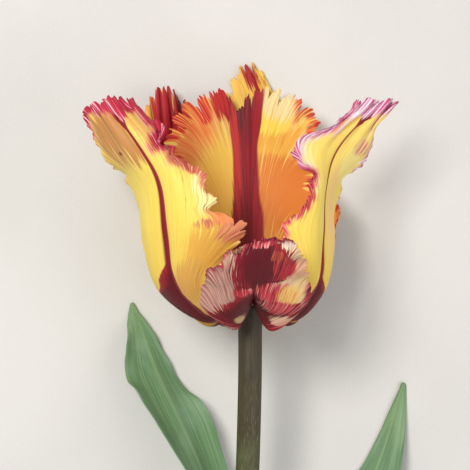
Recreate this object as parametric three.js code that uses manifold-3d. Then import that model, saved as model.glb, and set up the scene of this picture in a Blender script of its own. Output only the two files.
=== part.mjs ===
// A parrot tulip, cut and lying on a table with its bloom towards +Y.
// Millimetres, +Z up. While it is modelled, the top of the stem is at the origin;
// the last lines move the whole flower so that it stands on z = 0 about the origin.

import * as THREE from 'three';
import { mergeVertices } from 'three/addons/utils/BufferGeometryUtils.js';
import Module from 'manifold-3d';

// Driving sizes
const tableHeight = -42;
const petalThickness = 0.9;
const leafThickness = 1.0;
const stemRadiusTop = 4.5;
const stemRadiusCut = 4.7;
const receptacleRadius = 6.5;
const receptacleTop = 3.0;
const innerRing = { radius: 5.6, height: 2 };
const outerRing = { radius: 7.2, height: -2 };
const stamenCount = 6;
const stamenRootRadius = 4.0;
const stamenLength = 17;
const filamentRadius = 0.75;
const antherRadius = 1.55;
const pistilSeat = receptacleTop + 0.3;
const pistilLength = 16;
const ovaryRadius = 3.1;

// How finely the surfaces are divided
const broadPetalGrid = { rows: 24, columns: 22 };
const hiddenPetalGrid = { rows: 20, columns: 14 };
const leafGrid = { rows: 24, columns: 8 };

// Colours of the real flower
const colours = {
  yellow: 0xf2c832,
  orange: 0xe08a2a,
  crimson: 0x8e1b2c,
  rose: 0xb4566c,
  stemGreen: 0x5b6b3a,
  leafGreen: 0x5f7f56,
  anther: 0x2c1726,
  stigma: 0xc9cf86,
};

// A point of one of the two rings where the petals are seated, with the angle from straight up
function seat(ring, degrees) {
  const angle = THREE.MathUtils.degToRad(degrees);
  return [ring.radius * Math.sin(angle), ring.height, ring.radius * Math.cos(angle)];
}

// Each petal is drawn by three lines from base to tip: its midrib and its two margins.
// A row is [midrib, left margin, right margin, fullness left, fullness right], where the
// fullness pushes each half outwards from the plain curve through the three points.
// side is 1 where the outside of the petal looks up, and -1 where its inside does.
const petals = {
  petal_inner_left: {
    colour: colours.yellow,
    grid: broadPetalGrid,
    side: 1,
    seed: 1,
    rows: [
      [seat(innerRing, -60), seat(innerRing, -95), seat(innerRing, -25), 0, 0],
      [[-13.5, -8, 9], [-15.5, -6, -2.5], [-8, -6, 14], 2, 1],
      [[-27, 4, 17], [-33.5, 5, -9], [-13, 7, 27], 3.5, 2],
      [[-30.5, 23, 23], [-39.3, 23, -13], [-2.5, 25, 31], 3, 3],
      [[-33, 41.5, 25], [-44.5, 41, -6], [-13, 42, 29], 1.5, 1.5],
      [[-39.5, 54, 23], [-55.5, 55, 3], [-29, 60, 18], 1, 1],
      [[-53.5, 74, 17], [-64.5, 73.5, 9.5], [-49, 76, 13], 1, 1],
    ],
    tipDrop: 0.03,
    slits: [
      { margin: 1, at: 0.845, width: 0.02, depth: 0.6 },
      { margin: 1, at: 0.79, width: 0.03, depth: 0.45 },
      { margin: 1, at: 0.64, width: 0.04, depth: 0.15 },
      { margin: 1, at: 0.58, width: 0.022, depth: 0.24 },
      { margin: 1, at: 0.515, width: 0.03, depth: -0.14 },
      { margin: -1, at: 0.74, width: 0.02, depth: 0.12 },
    ],
  },
  petal_inner_right: {
    colour: colours.yellow,
    grid: broadPetalGrid,
    side: 1,
    seed: 2,
    rows: [
      [seat(innerRing, 60), seat(innerRing, 25), seat(innerRing, 95), 0, 0],
      [[14, -7, 9], [9, -5.3, 13.2], [16, -6.5, -2], 1, 2],
      [[24, 4, 15], [15, 7, 27], [25, 6, -5], 2, 3],
      [[26.5, 22, 18], [11.5, 25.5, 31], [29.8, 22.5, -7], 2, 2],
      [[27.5, 40, 18], [21.5, 40, 25], [32.5, 39, -5], 1, 1],
      [[32.5, 56, 15], [14, 54.5, 25], [44, 54.5, 1], 1, 1],
      [[49, 74.5, 10], [42.5, 76.5, 12], [57.5, 77.5, 5], 1, 1],
    ],
    tipDrop: 0.02,
    slits: [
      { margin: -1, at: 0.73, width: 0.022, depth: 0.4 },
      { margin: -1, at: 0.915, width: 0.022, depth: 0.5 },
      { margin: -1, at: 0.955, width: 0.03, depth: 0.45 },
      { margin: 1, at: 0.82, width: 0.035, depth: -0.2 },
      { margin: 1, at: 0.92, width: 0.035, depth: 0.5 },
    ],
  },
  petal_inner_back: {
    colour: colours.orange,
    grid: broadPetalGrid,
    side: -1,
    seed: 4,
    rows: [
      [seat(innerRing, 180), seat(innerRing, 211), seat(innerRing, 149), 0, 0],
      [[0, -7, -16], [-10, -5, -11], [10, -5, -11], 1, 1],
      [[0, 1, -27], [-18, 4, -20], [17, 4, -20], 1, 1],
      [[-0.5, 17, -34], [-26, 19, -23], [23.5, 19, -22], 2, 2],
      [[-1, 36, -36], [-31, 37, -25], [27, 37, -23], 2, 2],
      [[-1.7, 56, -36], [-34, 56, -25], [29, 57, -23], 1, 1],
      [[-3, 83, -34], [-40, 79.5, -21], [32, 83.5, -22], 0, 0],
    ],
    tipDrop: 0.11,
    tipTongues: 9,
    notch: { at: -0.05, width: 0.1, depth: 0.05 },
  },
  petal_outer_front: {
    colour: colours.rose,
    grid: broadPetalGrid,
    side: 1,
    seed: 3,
    cheek: 0.6,
    rows: [
      [seat(outerRing, 6), seat(outerRing, -28), seat(outerRing, 38), 0, 0],
      [[1, 2, 15], [-6, -9.5, 18], [9, -10, 18], 8, 8],
      [[1, 1.5, 28], [-18, -2, 28.5], [21, -0.5, 28], 5, 5],
      [[1.2, 5, 40.5], [-17.5, 6.5, 35.5], [21.5, 7.5, 34.5], 0.5, 0.5],
      [[1.6, 10.5, 48.5], [-14, 12, 42.5], [20, 14, 41], 0, 0],
      [[2.4, 16, 53.5], [-8, 17, 49.5], [17, 19, 47.5], 0, 0],
      [[3.5, 22.5, 56.5], [-3, 18.5, 54.8], [13, 23, 52.3], 0, 0],
    ],
    tipDrop: 0.03,
  },
  petal_outer_back_left: {
    colour: colours.crimson,
    grid: hiddenPetalGrid,
    side: -1,
    seed: 5,
    rests: true,
    rows: [
      [seat(outerRing, -120), seat(outerRing, -95), seat(outerRing, -145), 0, 0],
      [[-12, -11, -14], [-17, -10.5, -5], [-4, -11, -17], 1, 1],
      [[-19, -3, -25], [-30, 1, -11], [-6, -3, -32], 1, 1],
      [[-24, 13, -33], [-38.5, 14.5, -14.2], [-8, 13, -39.5], 1, 1],
      [[-28, 33, -37], [-40, 33, -17], [-11, 33, -42], 1, 1],
      [[-31, 55, -37], [-41, 55, -23], [-16, 55, -42], 0, 0],
      [[-34, 83, -33], [-41.5, 79, -26], [-26, 81, -38], 0, 0],
    ],
  },
  petal_outer_back_right: {
    colour: colours.crimson,
    grid: hiddenPetalGrid,
    side: -1,
    seed: 6,
    rests: true,
    rows: [
      [seat(outerRing, 120), seat(outerRing, 145), seat(outerRing, 95), 0, 0],
      [[12, -11, -14], [4, -11, -17], [17, -9.5, -5], 1, 1],
      [[19, -3, -25], [5, -3, -32], [23.6, 2, -10], 1, 1],
      [[22, 13, -33], [4, 13, -39.5], [32, 17, -11], 1, 1],
      [[20, 34, -38.5], [2, 34, -42], [33.5, 35, -17], 1, 1],
      [[11, 61, -41], [-7, 62, -42], [20, 62, -38.5], 0, 0],
      [[-1, 92.5, -39.5], [-13, 87, -40.5], [4, 91, -39], 0, 0],
    ],
  },
};

// The two leaves clasp the stem at their base, bend away and lie down on the table
const leaves = {
  leaf_upper: {
    seed: 7,
    rows: [
      [[-8.3, -106, -14.7], [-3.1, -106, -8.6], [-3.1, -106, -20.8], 0.5, 0.5],
      [[-12, -86, -14], [-13, -84, -1], [-4, -91, -23], 1, 1],
      [[-20, -66, -22], [-29, -60, -8], [-8, -71, -29], 1, 1],
      [[-29, -47, -28], [-42, -42, -19], [-15, -51, -31], 1, 1],
      [[-37, -31, -35], [-49, -28, -29], [-26, -36, -37], 1, 1],
      [[-42, -18, -38.5], [-49, -17, -36.5], [-36, -21, -40], 0, 0],
      [[-47, -4, -41], [-47.5, -5, -40.8], [-46.5, -5, -41], 0, 0],
    ],
  },
  leaf_lower: {
    seed: 8,
    rows: [
      [[0.3, -188, -33.2], [-4.7, -188, -39.1], [-4.7, -188, -27.3], 0.4, 0.4],
      [[6, -164, -33], [-3, -169, -41], [7, -161, -17], 1, 1],
      [[18, -138, -37], [2, -143, -41.5], [29, -131, -22], 1, 1],
      [[31, -111, -36], [14, -116, -41], [47, -106, -27], 1, 1],
      [[44, -86, -38.5], [30, -91, -41.5], [58, -83, -32], 1, 1],
      [[54, -63, -40], [46, -67, -41.5], [62, -61, -37], 0, 0],
      [[62, -36, -41.2], [61.5, -37, -41.3], [62.5, -37, -41], 0, 0],
    ],
  },
};

// The middle of the stem, from under the bloom to the cut end that lies on the table
const stemLine = [
  [0, -4, 0],
  [0, -30, -0.5],
  [-1, -70, -6],
  [-3, -115, -17],
  [-5, -160, -28],
  [-6, -200, -35],
  [-7, -235, tableHeight + stemRadiusCut],
  [-8, -258, tableHeight + stemRadiusCut],
];

// The seat of the petals, as radius at a height along the flower's axis
const receptacleProfile = [
  [-3.6, 5.2],
  [-2.8, receptacleRadius - 0.2],
  [-1.5, receptacleRadius],
  [0, 5.8],
  [1.2, 5.1],
  [2.2, 4.6],
  [receptacleTop, 4.0],
];

const up = new THREE.Vector3(0, 1, 0);

function toVector(point) {
  return new THREE.Vector3(point[0], point[1], point[2]);
}

// Smooth step from 0 to 1 between two values
function ease(from, to, value) {
  return THREE.MathUtils.smoothstep(value, from, to);
}

// A slow irregular wave between about -1 and 1
function wobble(x, seed) {
  const slow = 0.5 * Math.sin(x * 2.1 + seed);
  const middle = 0.3 * Math.sin(x * 5.3 + seed * 1.7);
  const quick = 0.2 * Math.sin(x * 11.9 + seed * 2.3);
  return slow + middle + quick;
}

// 1 in the slit between two tongues of a cut edge, 0 on the tongues
function slitBetweenTongues(x) {
  return 1 - Math.pow(Math.abs(Math.sin(Math.PI * x)), 0.55);
}

// Catmull-Rom interpolation of a list of equally spaced values, with t from 0 to 1
function along(values, t) {
  const last = values.length - 1;
  const place = THREE.MathUtils.clamp(t, 0, 1) * last;
  const index = Math.min(Math.floor(place), last - 1);
  const f = place - index;
  const p1 = values[index];
  const p2 = values[index + 1];
  const p0 = index > 0 ? values[index - 1] : 2 * p1 - p2;
  const p3 = index + 2 <= last ? values[index + 2] : 2 * p2 - p1;
  const a = (p2 - p0) / 2;
  const b = (p3 - p1) / 2;
  return p1 + a * f + (3 * (p2 - p1) - 2 * a - b) * f * f + (2 * (p1 - p2) + a + b) * f * f * f;
}

// One of the three lines of a blade as a function of t
function lineOf(rows, column) {
  const xs = rows.map((row) => row[column][0]);
  const ys = rows.map((row) => row[column][1]);
  const zs = rows.map((row) => row[column][2]);
  return (t) => new THREE.Vector3(along(xs, t), along(ys, t), along(zs, t));
}

// A blade pressed on the table flattens softly instead of passing through it
function restOn(height, z) {
  const soft = 1.5;
  const over = z - height;
  if (over > soft) {
    return z;
  }
  if (over < -soft) {
    return height;
  }
  return height + ((over + soft) * (over + soft)) / (4 * soft);
}

// The middle surface of a blade: u runs from base to tip, v from margin to margin
function bladeSurface(form) {
  const midrib = lineOf(form.rows, 0);
  const leftMargin = lineOf(form.rows, 1);
  const rightMargin = lineOf(form.rows, 2);
  const fullLeft = form.rows.map((row) => row[3]);
  const fullRight = form.rows.map((row) => row[4]);
  const seed = form.seed;
  const step = 0.001;

  return (u, v) => {
    const q = Math.abs(v);
    const hand = v < 0 ? -1 : 1;

    // The cut tip: tongues, a rounded outline and the notch over the midrib
    const tongues = slitBetweenTongues((v * form.tipTongues) / 2 + 0.13 * seed + 0.35 * wobble(v * 3, seed));
    let end = 1 - form.tipDrop * q ** 3;
    end -= form.tipCut * tongues * (1 + 0.6 * wobble(v * 9, seed + 2));
    if (form.notch) {
      end -= form.notch.depth * Math.exp(-(((v - form.notch.at) / form.notch.width) ** 2));
    }
    const t = Math.min(u * (1 + (end - 1) * ease(0.5, 1, u)), 1);

    // The cut margins: teeth along each side and a few deeper slits
    const toothPlace = u * form.sideTeeth + hand * 0.23 * seed + 0.4 * wobble(u * 6, seed + hand);
    let cut = slitBetweenTongues(toothPlace) * form.sideCut * (1 + 0.6 * wobble(u * 9, seed + 3 * hand));
    cut *= ease(0.3, 0.55, u);
    for (const slit of form.slits) {
      if (slit.margin === hand) {
        cut += slit.depth * Math.exp(-(((u - slit.at) / slit.width) ** 2));
      }
    }
    const across = v * (1 - cut * q ** 3);

    // The cross-section is a parabola through the three lines, filled out on both halves
    const middle = midrib(t);
    const left = leftMargin(t);
    const right = rightMargin(t);
    const span = right.clone().sub(left);
    const sag = right.clone().add(left).multiplyScalar(0.5).sub(middle);
    const rise = midrib(Math.min(t + step, 1)).sub(midrib(Math.max(t - step, 0))).normalize();
    const outwards = span.clone().cross(rise).normalize().multiplyScalar(form.side);
    const a = Math.abs(across);
    const full = along(hand < 0 ? fullLeft : fullRight, t) * Math.max(4 * a * (1 - a), 0) ** form.cheek;

    // The margins and the tip are waved
    const marginPhase = 2 * Math.PI * form.waves * u + 1.9 * seed + 2.2 * hand + 1.2 * wobble(u * 4, seed);
    const marginWave = form.waveHeight * q ** 3 * ease(0.3, 0.6, u) * Math.sin(marginPhase);
    const tipWave = form.tipWave * ease(0.75, 1, u) * Math.sin(Math.PI * v * 5 + seed);

    const point = middle;
    point.addScaledVector(span, across / 2);
    point.addScaledVector(sag, across * across);
    point.addScaledVector(outwards, full + marginWave + tipWave);
    if (form.rests) {
      point.z = restOn(tableHeight + form.thickness / 2 + 0.05, point.z);
    }
    return point;
  };
}

// A closed blade of even thickness over a grid of its middle surface
function bladeGeometry(form) {
  const surface = bladeSurface(form);
  const rows = form.grid.rows;
  const columns = form.grid.columns;
  const points = [];
  for (let i = 0; i <= rows; i += 1) {
    points.push([]);
    for (let j = 0; j <= columns; j += 1) {
      points[i].push(surface(i / rows, (2 * j) / columns - 1));
    }
  }

  // Both faces use the same points and the same diagonals, so the blade keeps its thickness
  const faces = { upper: [], lower: [] };
  for (let i = 0; i <= rows; i += 1) {
    for (let j = 0; j <= columns; j += 1) {
      const alongU = points[Math.min(i + 1, rows)][j].clone().sub(points[Math.max(i - 1, 0)][j]);
      const alongV = points[i][Math.min(j + 1, columns)].clone().sub(points[i][Math.max(j - 1, 0)]);
      const normal = alongV.cross(alongU).normalize();
      faces.upper.push(points[i][j].clone().addScaledVector(normal, form.thickness / 2));
      faces.lower.push(points[i][j].clone().addScaledVector(normal, -form.thickness / 2));
    }
  }
  const vertices = faces.upper.concat(faces.lower);
  const under = faces.upper.length;
  const index = [];
  const quad = (a, b, c, d) => index.push(a, b, c, a, c, d);
  const at = (i, j) => i * (columns + 1) + j;
  for (let i = 0; i < rows; i += 1) {
    for (let j = 0; j < columns; j += 1) {
      const corners = [at(i, j), at(i, j + 1), at(i + 1, j + 1), at(i + 1, j)];
      quad(corners[0], corners[1], corners[2], corners[3]);
      index.push(under + corners[0], under + corners[2], under + corners[1]);
      index.push(under + corners[0], under + corners[3], under + corners[2]);
    }
  }
  const rim = [];
  for (let j = 0; j < columns; j += 1) rim.push(at(0, j));
  for (let i = 0; i < rows; i += 1) rim.push(at(i, columns));
  for (let j = columns; j > 0; j -= 1) rim.push(at(rows, j));
  for (let i = rows; i > 0; i -= 1) rim.push(at(i, 0));
  rim.forEach((corner, k) => {
    const next = rim[(k + 1) % rim.length];
    quad(next, corner, under + corner, under + next);
  });
  return solidGeometry(vertices, index);
}

// A closed round body along a curve, with its radius given along the way
function sweptGeometry(curve, radiusAt, sides, steps) {
  const frames = curve.computeFrenetFrames(steps, false);
  const vertices = [curve.getPointAt(0)];
  const index = [];
  for (let i = 0; i <= steps; i += 1) {
    const centre = curve.getPointAt(i / steps);
    for (let j = 0; j < sides; j += 1) {
      const angle = (2 * Math.PI * j) / sides;
      const radius = radiusAt(i / steps, angle);
      const point = centre.clone();
      point.addScaledVector(frames.normals[i], radius * Math.cos(angle));
      point.addScaledVector(frames.binormals[i], radius * Math.sin(angle));
      vertices.push(point);
    }
  }
  vertices.push(curve.getPointAt(1));
  const ring = (i, j) => 1 + i * sides + (j % sides);
  const last = vertices.length - 1;
  for (let j = 0; j < sides; j += 1) {
    index.push(0, ring(0, j + 1), ring(0, j));
    index.push(last, ring(steps, j), ring(steps, j + 1));
    for (let i = 0; i < steps; i += 1) {
      index.push(ring(i, j), ring(i, j + 1), ring(i + 1, j + 1));
      index.push(ring(i, j), ring(i + 1, j + 1), ring(i + 1, j));
    }
  }
  return solidGeometry(vertices, index);
}

function solidGeometry(vertices, index) {
  const geometry = new THREE.BufferGeometry();
  geometry.setFromPoints(vertices);
  geometry.setIndex(index);
  return geometry;
}

// Joining closed bodies
const wasm = await Module();
wasm.setup();

function toSolid(geometry) {
  const plain = geometry.clone();
  plain.deleteAttribute('normal');
  plain.deleteAttribute('uv');
  const merged = mergeVertices(plain, 1e-5);
  return new wasm.Manifold(new wasm.Mesh({
    numProp: 3,
    vertProperties: new Float32Array(merged.attributes.position.array),
    triVerts: new Uint32Array(merged.index.array),
  }));
}

function toGeometry(solid) {
  const mesh = solid.getMesh();
  const geometry = new THREE.BufferGeometry();
  geometry.setAttribute('position', new THREE.BufferAttribute(mesh.vertProperties, 3));
  geometry.setIndex(new THREE.BufferAttribute(mesh.triVerts, 1));
  return geometry;
}

// The stem thickens a little towards its cut end and flares under the bloom
function stemGeometry() {
  const curve = new THREE.CatmullRomCurve3(stemLine.map(toVector), false, 'centripetal');
  const flare = 0.5;
  const radiusAt = (t) => THREE.MathUtils.lerp(stemRadiusTop, stemRadiusCut, t) + flare * Math.exp(-t * 60);
  return sweptGeometry(curve, radiusAt, 14, 40);
}

function receptacleGeometry() {
  const first = receptacleProfile[0][0];
  const curve = new THREE.LineCurve3(new THREE.Vector3(0, first, 0), new THREE.Vector3(0, receptacleTop, 0));
  const radii = receptacleProfile.map((point) => point[1]);
  const heights = receptacleProfile.map((point) => (point[0] - first) / (receptacleTop - first));
  const radiusAt = (t) => {
    let k = 0;
    while (k < heights.length - 2 && heights[k + 1] < t) k += 1;
    const share = (t - heights[k]) / (heights[k + 1] - heights[k]);
    return THREE.MathUtils.lerp(radii[k], radii[k + 1], share);
  };
  return sweptGeometry(curve, radiusAt, 18, 7);
}

// One stamen: a thin filament that leans outwards and carries a long anther
function stamenGeometry(angle) {
  const lean = stamenRootRadius + 1.2 + 0.5 * Math.sin(3 * angle);
  const tipLean = stamenRootRadius + 2.2 + 0.6 * Math.cos(2 * angle);
  const ring = [
    [stamenRootRadius, 1],
    [lean, 0.5 * stamenLength],
    [tipLean, stamenLength + 0.8 * Math.sin(5 * angle)],
  ];
  const curve = new THREE.CatmullRomCurve3(ring.map(([radius, height]) => (
    new THREE.Vector3(radius * Math.sin(angle), height, radius * Math.cos(angle))
  )));
  const antherStart = 0.48;
  const radiusAt = (t) => {
    const anther = THREE.MathUtils.clamp((t - antherStart) / (1 - antherStart), 0, 1);
    const swelling = Math.sqrt(Math.sin(Math.PI * Math.min(anther * 0.93 + 0.02, 1)));
    return t < antherStart ? filamentRadius : Math.max(filamentRadius * 0.7, antherRadius * swelling);
  };
  return sweptGeometry(curve, radiusAt, 8, 14);
}

// The six stamens are rooted in the receptacle, so they are one body with it
function receptacleWithStamens() {
  let solid = toSolid(receptacleGeometry());
  for (let k = 0; k < stamenCount; k += 1) {
    const angle = (2 * Math.PI * (k + 0.5)) / stamenCount;
    solid = solid.add(toSolid(stamenGeometry(angle)));
  }
  return toGeometry(solid);
}

// The pistil: a three-sided ovary under a stigma of three spread lobes
function pistilGeometry() {
  const foot = new THREE.Vector3(0, pistilSeat, 0);
  const head = foot.clone().addScaledVector(up, pistilLength);
  const radiusAt = (t, angle) => {
    const body = ovaryRadius * (0.72 + 0.28 * Math.sin(Math.PI * Math.min(t * 1.1, 1)));
    const lobes = 2.0 * ease(0.8, 0.93, t) * (0.5 + 0.5 * Math.cos(3 * angle)) ** 2;
    const close = 1 - 0.45 * ease(0.93, 1, t);
    return (body * (1 + 0.08 * Math.cos(3 * angle)) + lobes) * close;
  };
  return sweptGeometry(new THREE.LineCurve3(foot, head), radiusAt, 18, 14);
}

const petalEdge = {
  thickness: petalThickness,
  cheek: 1,
  tipTongues: 7,
  tipCut: 0.035,
  tipDrop: 0.05,
  tipWave: 0.8,
  sideTeeth: 9,
  sideCut: 0.1,
  waves: 5,
  waveHeight: 1.2,
  slits: [],
};

const leafEdge = {
  thickness: leafThickness,
  colour: colours.leafGreen,
  grid: leafGrid,
  side: -1,
  cheek: 1,
  tipTongues: 1,
  tipCut: 0,
  tipDrop: 0,
  tipWave: 0,
  sideTeeth: 1,
  sideCut: 0,
  waves: 2.5,
  waveHeight: 2.2,
  slits: [],
  rests: true,
};

function addPiece(group, name, geometry, colour) {
  const material = new THREE.MeshStandardMaterial({ color: colour, roughness: 0.6, metalness: 0 });
  const mesh = new THREE.Mesh(geometry, material);
  mesh.name = name;
  group.add(mesh);
}

const flower = new THREE.Group();
addPiece(flower, 'stem', stemGeometry(), colours.stemGreen);
addPiece(flower, 'receptacle_stamens', receptacleWithStamens(), colours.anther);
addPiece(flower, 'pistil', pistilGeometry(), colours.stigma);
for (const [name, form] of Object.entries(petals)) {
  addPiece(flower, name, bladeGeometry({ ...petalEdge, ...form }), form.colour);
}
for (const [name, form] of Object.entries(leaves)) {
  addPiece(flower, name, bladeGeometry({ ...leafEdge, ...form }), leafEdge.colour);
}

// The origin goes to the middle of the flower's footprint, at the height of the table
const bounds = new THREE.Box3().setFromObject(flower);
const middle = bounds.getCenter(new THREE.Vector3());
flower.position.set(-middle.x, -middle.y, -bounds.min.z);

const tulip = new THREE.Group();
tulip.add(flower);

export default tulip;
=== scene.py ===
# %% [markdown]
# # A parrot tulip, cut and laid on a table
#
# The flower has six petals in two layers of three, a ring of six stamens round a three-sided
# pistil, a stem and two leaves. It lies on a pale table with its bloom away from us, and the
# camera looks straight down on it. Everything is in metres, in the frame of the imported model:
# +Y runs from the cut end of the stem to the tips of the petals, and +Z is up.
#
# The first step loads that model. Each of its plain pieces is then replaced by a finer one that
# keeps its form, so the plain box is kept here to compare with the finished flower at the end.

import math
from types import SimpleNamespace

import bmesh
import bpy
import numpy as np
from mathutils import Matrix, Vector
from mathutils.kdtree import KDTree


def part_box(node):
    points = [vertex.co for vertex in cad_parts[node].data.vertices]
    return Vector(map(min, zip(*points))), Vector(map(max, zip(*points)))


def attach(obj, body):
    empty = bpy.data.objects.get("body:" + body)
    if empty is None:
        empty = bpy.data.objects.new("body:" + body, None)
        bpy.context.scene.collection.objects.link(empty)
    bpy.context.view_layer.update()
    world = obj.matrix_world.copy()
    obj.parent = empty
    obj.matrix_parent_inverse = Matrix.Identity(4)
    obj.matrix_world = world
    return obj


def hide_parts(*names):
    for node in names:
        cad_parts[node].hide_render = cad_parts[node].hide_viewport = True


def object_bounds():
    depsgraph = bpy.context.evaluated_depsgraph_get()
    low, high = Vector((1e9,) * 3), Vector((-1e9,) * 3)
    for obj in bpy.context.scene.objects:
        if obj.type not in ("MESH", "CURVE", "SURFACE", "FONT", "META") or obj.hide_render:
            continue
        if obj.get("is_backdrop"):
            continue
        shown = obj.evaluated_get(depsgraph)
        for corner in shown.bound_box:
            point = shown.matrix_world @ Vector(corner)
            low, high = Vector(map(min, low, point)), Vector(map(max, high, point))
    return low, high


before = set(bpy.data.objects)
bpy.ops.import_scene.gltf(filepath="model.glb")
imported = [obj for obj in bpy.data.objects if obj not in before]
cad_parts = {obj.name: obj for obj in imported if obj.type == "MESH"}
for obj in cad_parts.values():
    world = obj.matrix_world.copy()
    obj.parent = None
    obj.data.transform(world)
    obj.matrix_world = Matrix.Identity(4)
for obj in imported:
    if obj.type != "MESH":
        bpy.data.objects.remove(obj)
cad_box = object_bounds()
print("plain pieces:", sorted(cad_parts))

# %% [markdown]
# ## Working in millimetres
#
# A flower is drawn most easily in millimetres about a point of its own. Here that point is the
# top of the stem, where the petals start, with the flower's axis along +Y. The lines of every
# petal are written in that way, and each mesh is moved to the frame as it is made.
#
# A living thing has hardly a straight line or an even repeat in it. The small curves below stand in for
# that: a soft step, an irregular wave, a row of slits, and a smooth run through a few given values. They
# are plain formulas, so they are the same on every run.

# %% Units and small curves
MM = 0.001


def ease(start, end, x):
    """A smooth step from 0 to 1 between two values."""
    share = np.clip((x - start) / (end - start), 0, 1)
    return share * share * (3 - 2 * share)


def wobble(x, seed):
    """A slow irregular wave between about -1 and 1."""
    slow = 0.5 * np.sin(x * 2.1 + seed)
    middle = 0.3 * np.sin(x * 5.3 + seed * 1.7)
    return slow + middle + 0.2 * np.sin(x * 11.9 + seed * 2.3)


def slit(x, sharpness=0.55):
    """1 in the slit between two tongues of a cut edge, 0 on the tongues."""
    return 1 - np.abs(np.sin(np.pi * x)) ** sharpness


def along(values, t):
    """Catmull-Rom interpolation of equally spaced values, with t from 0 to 1."""
    knots = np.asarray(values, float)
    last = len(knots) - 1
    place = np.clip(t, 0, 1) * last
    index = np.minimum(place.astype(int), last - 1)
    f = place - index
    if knots.ndim == 2:
        f = f[..., None]
    padded = np.concatenate([[2 * knots[0] - knots[1]], knots, [2 * knots[-1] - knots[-2]]])
    p0, p1, p2, p3 = (padded[index + k] for k in range(4))
    a = (p2 - p0) / 2
    b = (p3 - p1) / 2
    return p1 + a * f + (3 * (p2 - p1) - 2 * a - b) * f**2 + (2 * (p1 - p2) + a + b) * f**3


def unit(vectors):
    length = np.linalg.norm(vectors, axis=-1, keepdims=True)
    return vectors / np.maximum(length, 1e-9)


print("a petal's margin at a third of its length:", along([0.0, 8.0, 14.0, 9.0], np.array(1 / 3)))

# %% [markdown]
# ## The lines of the petals and leaves
#
# A petal is a curved blade. A sculptor would draw it with three wires, the midrib and the two
# margins, and stretch the skin between them. Each row below is one station from the base to the
# tip: the midrib's point, the left and the right margin's point, and how far each half bulges
# outwards between its wires. The rows repeat those of the plain model, so the fine petal lies
# exactly where the plain one lies. A petal could also be sculpted by hand, but then nothing would
# tie it to the plain one, and no number could be changed later.

# %% Driving sizes
TABLE_HEIGHT = -42
INNER_RING = (5.6, 2)
OUTER_RING = (7.2, -2)
PETAL_THICKNESS = 0.9
LEAF_THICKNESS = 1.0


def seat(ring, degrees):
    """A point of one of the two rings where the petals grow, with the angle from straight up."""
    radius, height = ring
    angle = math.radians(degrees)
    return [radius * math.sin(angle), height, radius * math.cos(angle)]


print("the topmost seat of the inner ring:", seat(INNER_RING, 0))

# %% [markdown]
# The three inner petals come first. In each entry, side is 1 where the petal's outside looks up
# and -1 where its inside does, and seed keeps its waves the same on every run. A slit is the
# margin that it cuts, its place along the petal, its width and its depth. A notch is the same at
# the tip, and fan says how closely the veins bunch at the foot and how late they bend outwards.

# %% The wires of the inner petals
PETALS = {
    "petal_inner_left": dict(
        side=1, seed=1, tip_drop=0.03,
        rows=[
            [seat(INNER_RING, -60), seat(INNER_RING, -95), seat(INNER_RING, -25), 0, 0],
            [[-13.5, -8, 9], [-15.5, -6, -2.5], [-8, -6, 14], 2, 1],
            [[-27, 4, 17], [-33.5, 5, -9], [-13, 7, 27], 3.5, 2],
            [[-30.5, 23, 23], [-39.3, 23, -13], [-2.5, 25, 31], 3, 3],
            [[-33, 41.5, 25], [-44.5, 41, -6], [-13, 42, 29], 1.5, 1.5],
            [[-39.5, 54, 23], [-55.5, 55, 3], [-29, 60, 18], 1, 1],
            [[-53.5, 74, 17], [-64.5, 73.5, 9.5], [-49, 76, 13], 1, 1],
        ],
        slits=[
            (1, 0.845, 0.02, 0.6), (1, 0.79, 0.03, 0.45), (1, 0.64, 0.04, 0.15), (1, 0.58, 0.022, 0.24),
            (1, 0.515, 0.03, -0.14), (-1, 0.74, 0.02, 0.12),
        ],
    ),
    "petal_inner_right": dict(
        side=1, seed=2, tip_drop=0.02,
        rows=[
            [seat(INNER_RING, 60), seat(INNER_RING, 25), seat(INNER_RING, 95), 0, 0],
            [[14, -7, 9], [9, -5.3, 13.2], [16, -6.5, -2], 1, 2],
            [[24, 4, 15], [15, 7, 27], [25, 6, -5], 2, 3],
            [[26.5, 22, 18], [11.5, 25.5, 31], [29.8, 22.5, -7], 2, 2],
            [[27.5, 40, 18], [21.5, 40, 25], [32.5, 39, -5], 1, 1],
            [[32.5, 56, 15], [14, 54.5, 25], [44, 54.5, 1], 1, 1],
            [[49, 74.5, 10], [42.5, 76.5, 12], [57.5, 77.5, 5], 1, 1],
        ],
        slits=[
            (-1, 0.73, 0.022, 0.4), (-1, 0.915, 0.022, 0.5), (-1, 0.955, 0.03, 0.45),
            (1, 0.82, 0.035, -0.2), (1, 0.92, 0.035, 0.5),
        ],
    ),
    "petal_inner_back": dict(
        side=-1, seed=4, fan=(0.5, 5), tip_drop=0.11, tip_tongues=9, notch=(-0.05, 0.1, 0.05),
        rows=[
            [seat(INNER_RING, 180), seat(INNER_RING, 211), seat(INNER_RING, 149), 0, 0],
            [[0, -7, -16], [-10, -5, -11], [10, -5, -11], 1, 1],
            [[0, 1, -27], [-18, 4, -20], [17, 4, -20], 1, 1],
            [[-0.5, 17, -34], [-26, 19, -23], [23.5, 19, -22], 2, 2],
            [[-1, 36, -36], [-31, 37, -25], [27, 37, -23], 2, 2],
            [[-1.7, 56, -36], [-34, 56, -25], [29, 57, -23], 1, 1],
            [[-3, 83, -34], [-40, 79.5, -21], [32, 83.5, -22], 0, 0],
        ],
    ),
}
print(len(PETALS), "inner petals")

# %% [markdown]
# The outer petals grow a little lower and further out, between the inner ones. The one in front
# bends up towards the viewer. The two behind carry the bloom on the table, so they rest on it, and
# the table flattens them a little.

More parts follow.
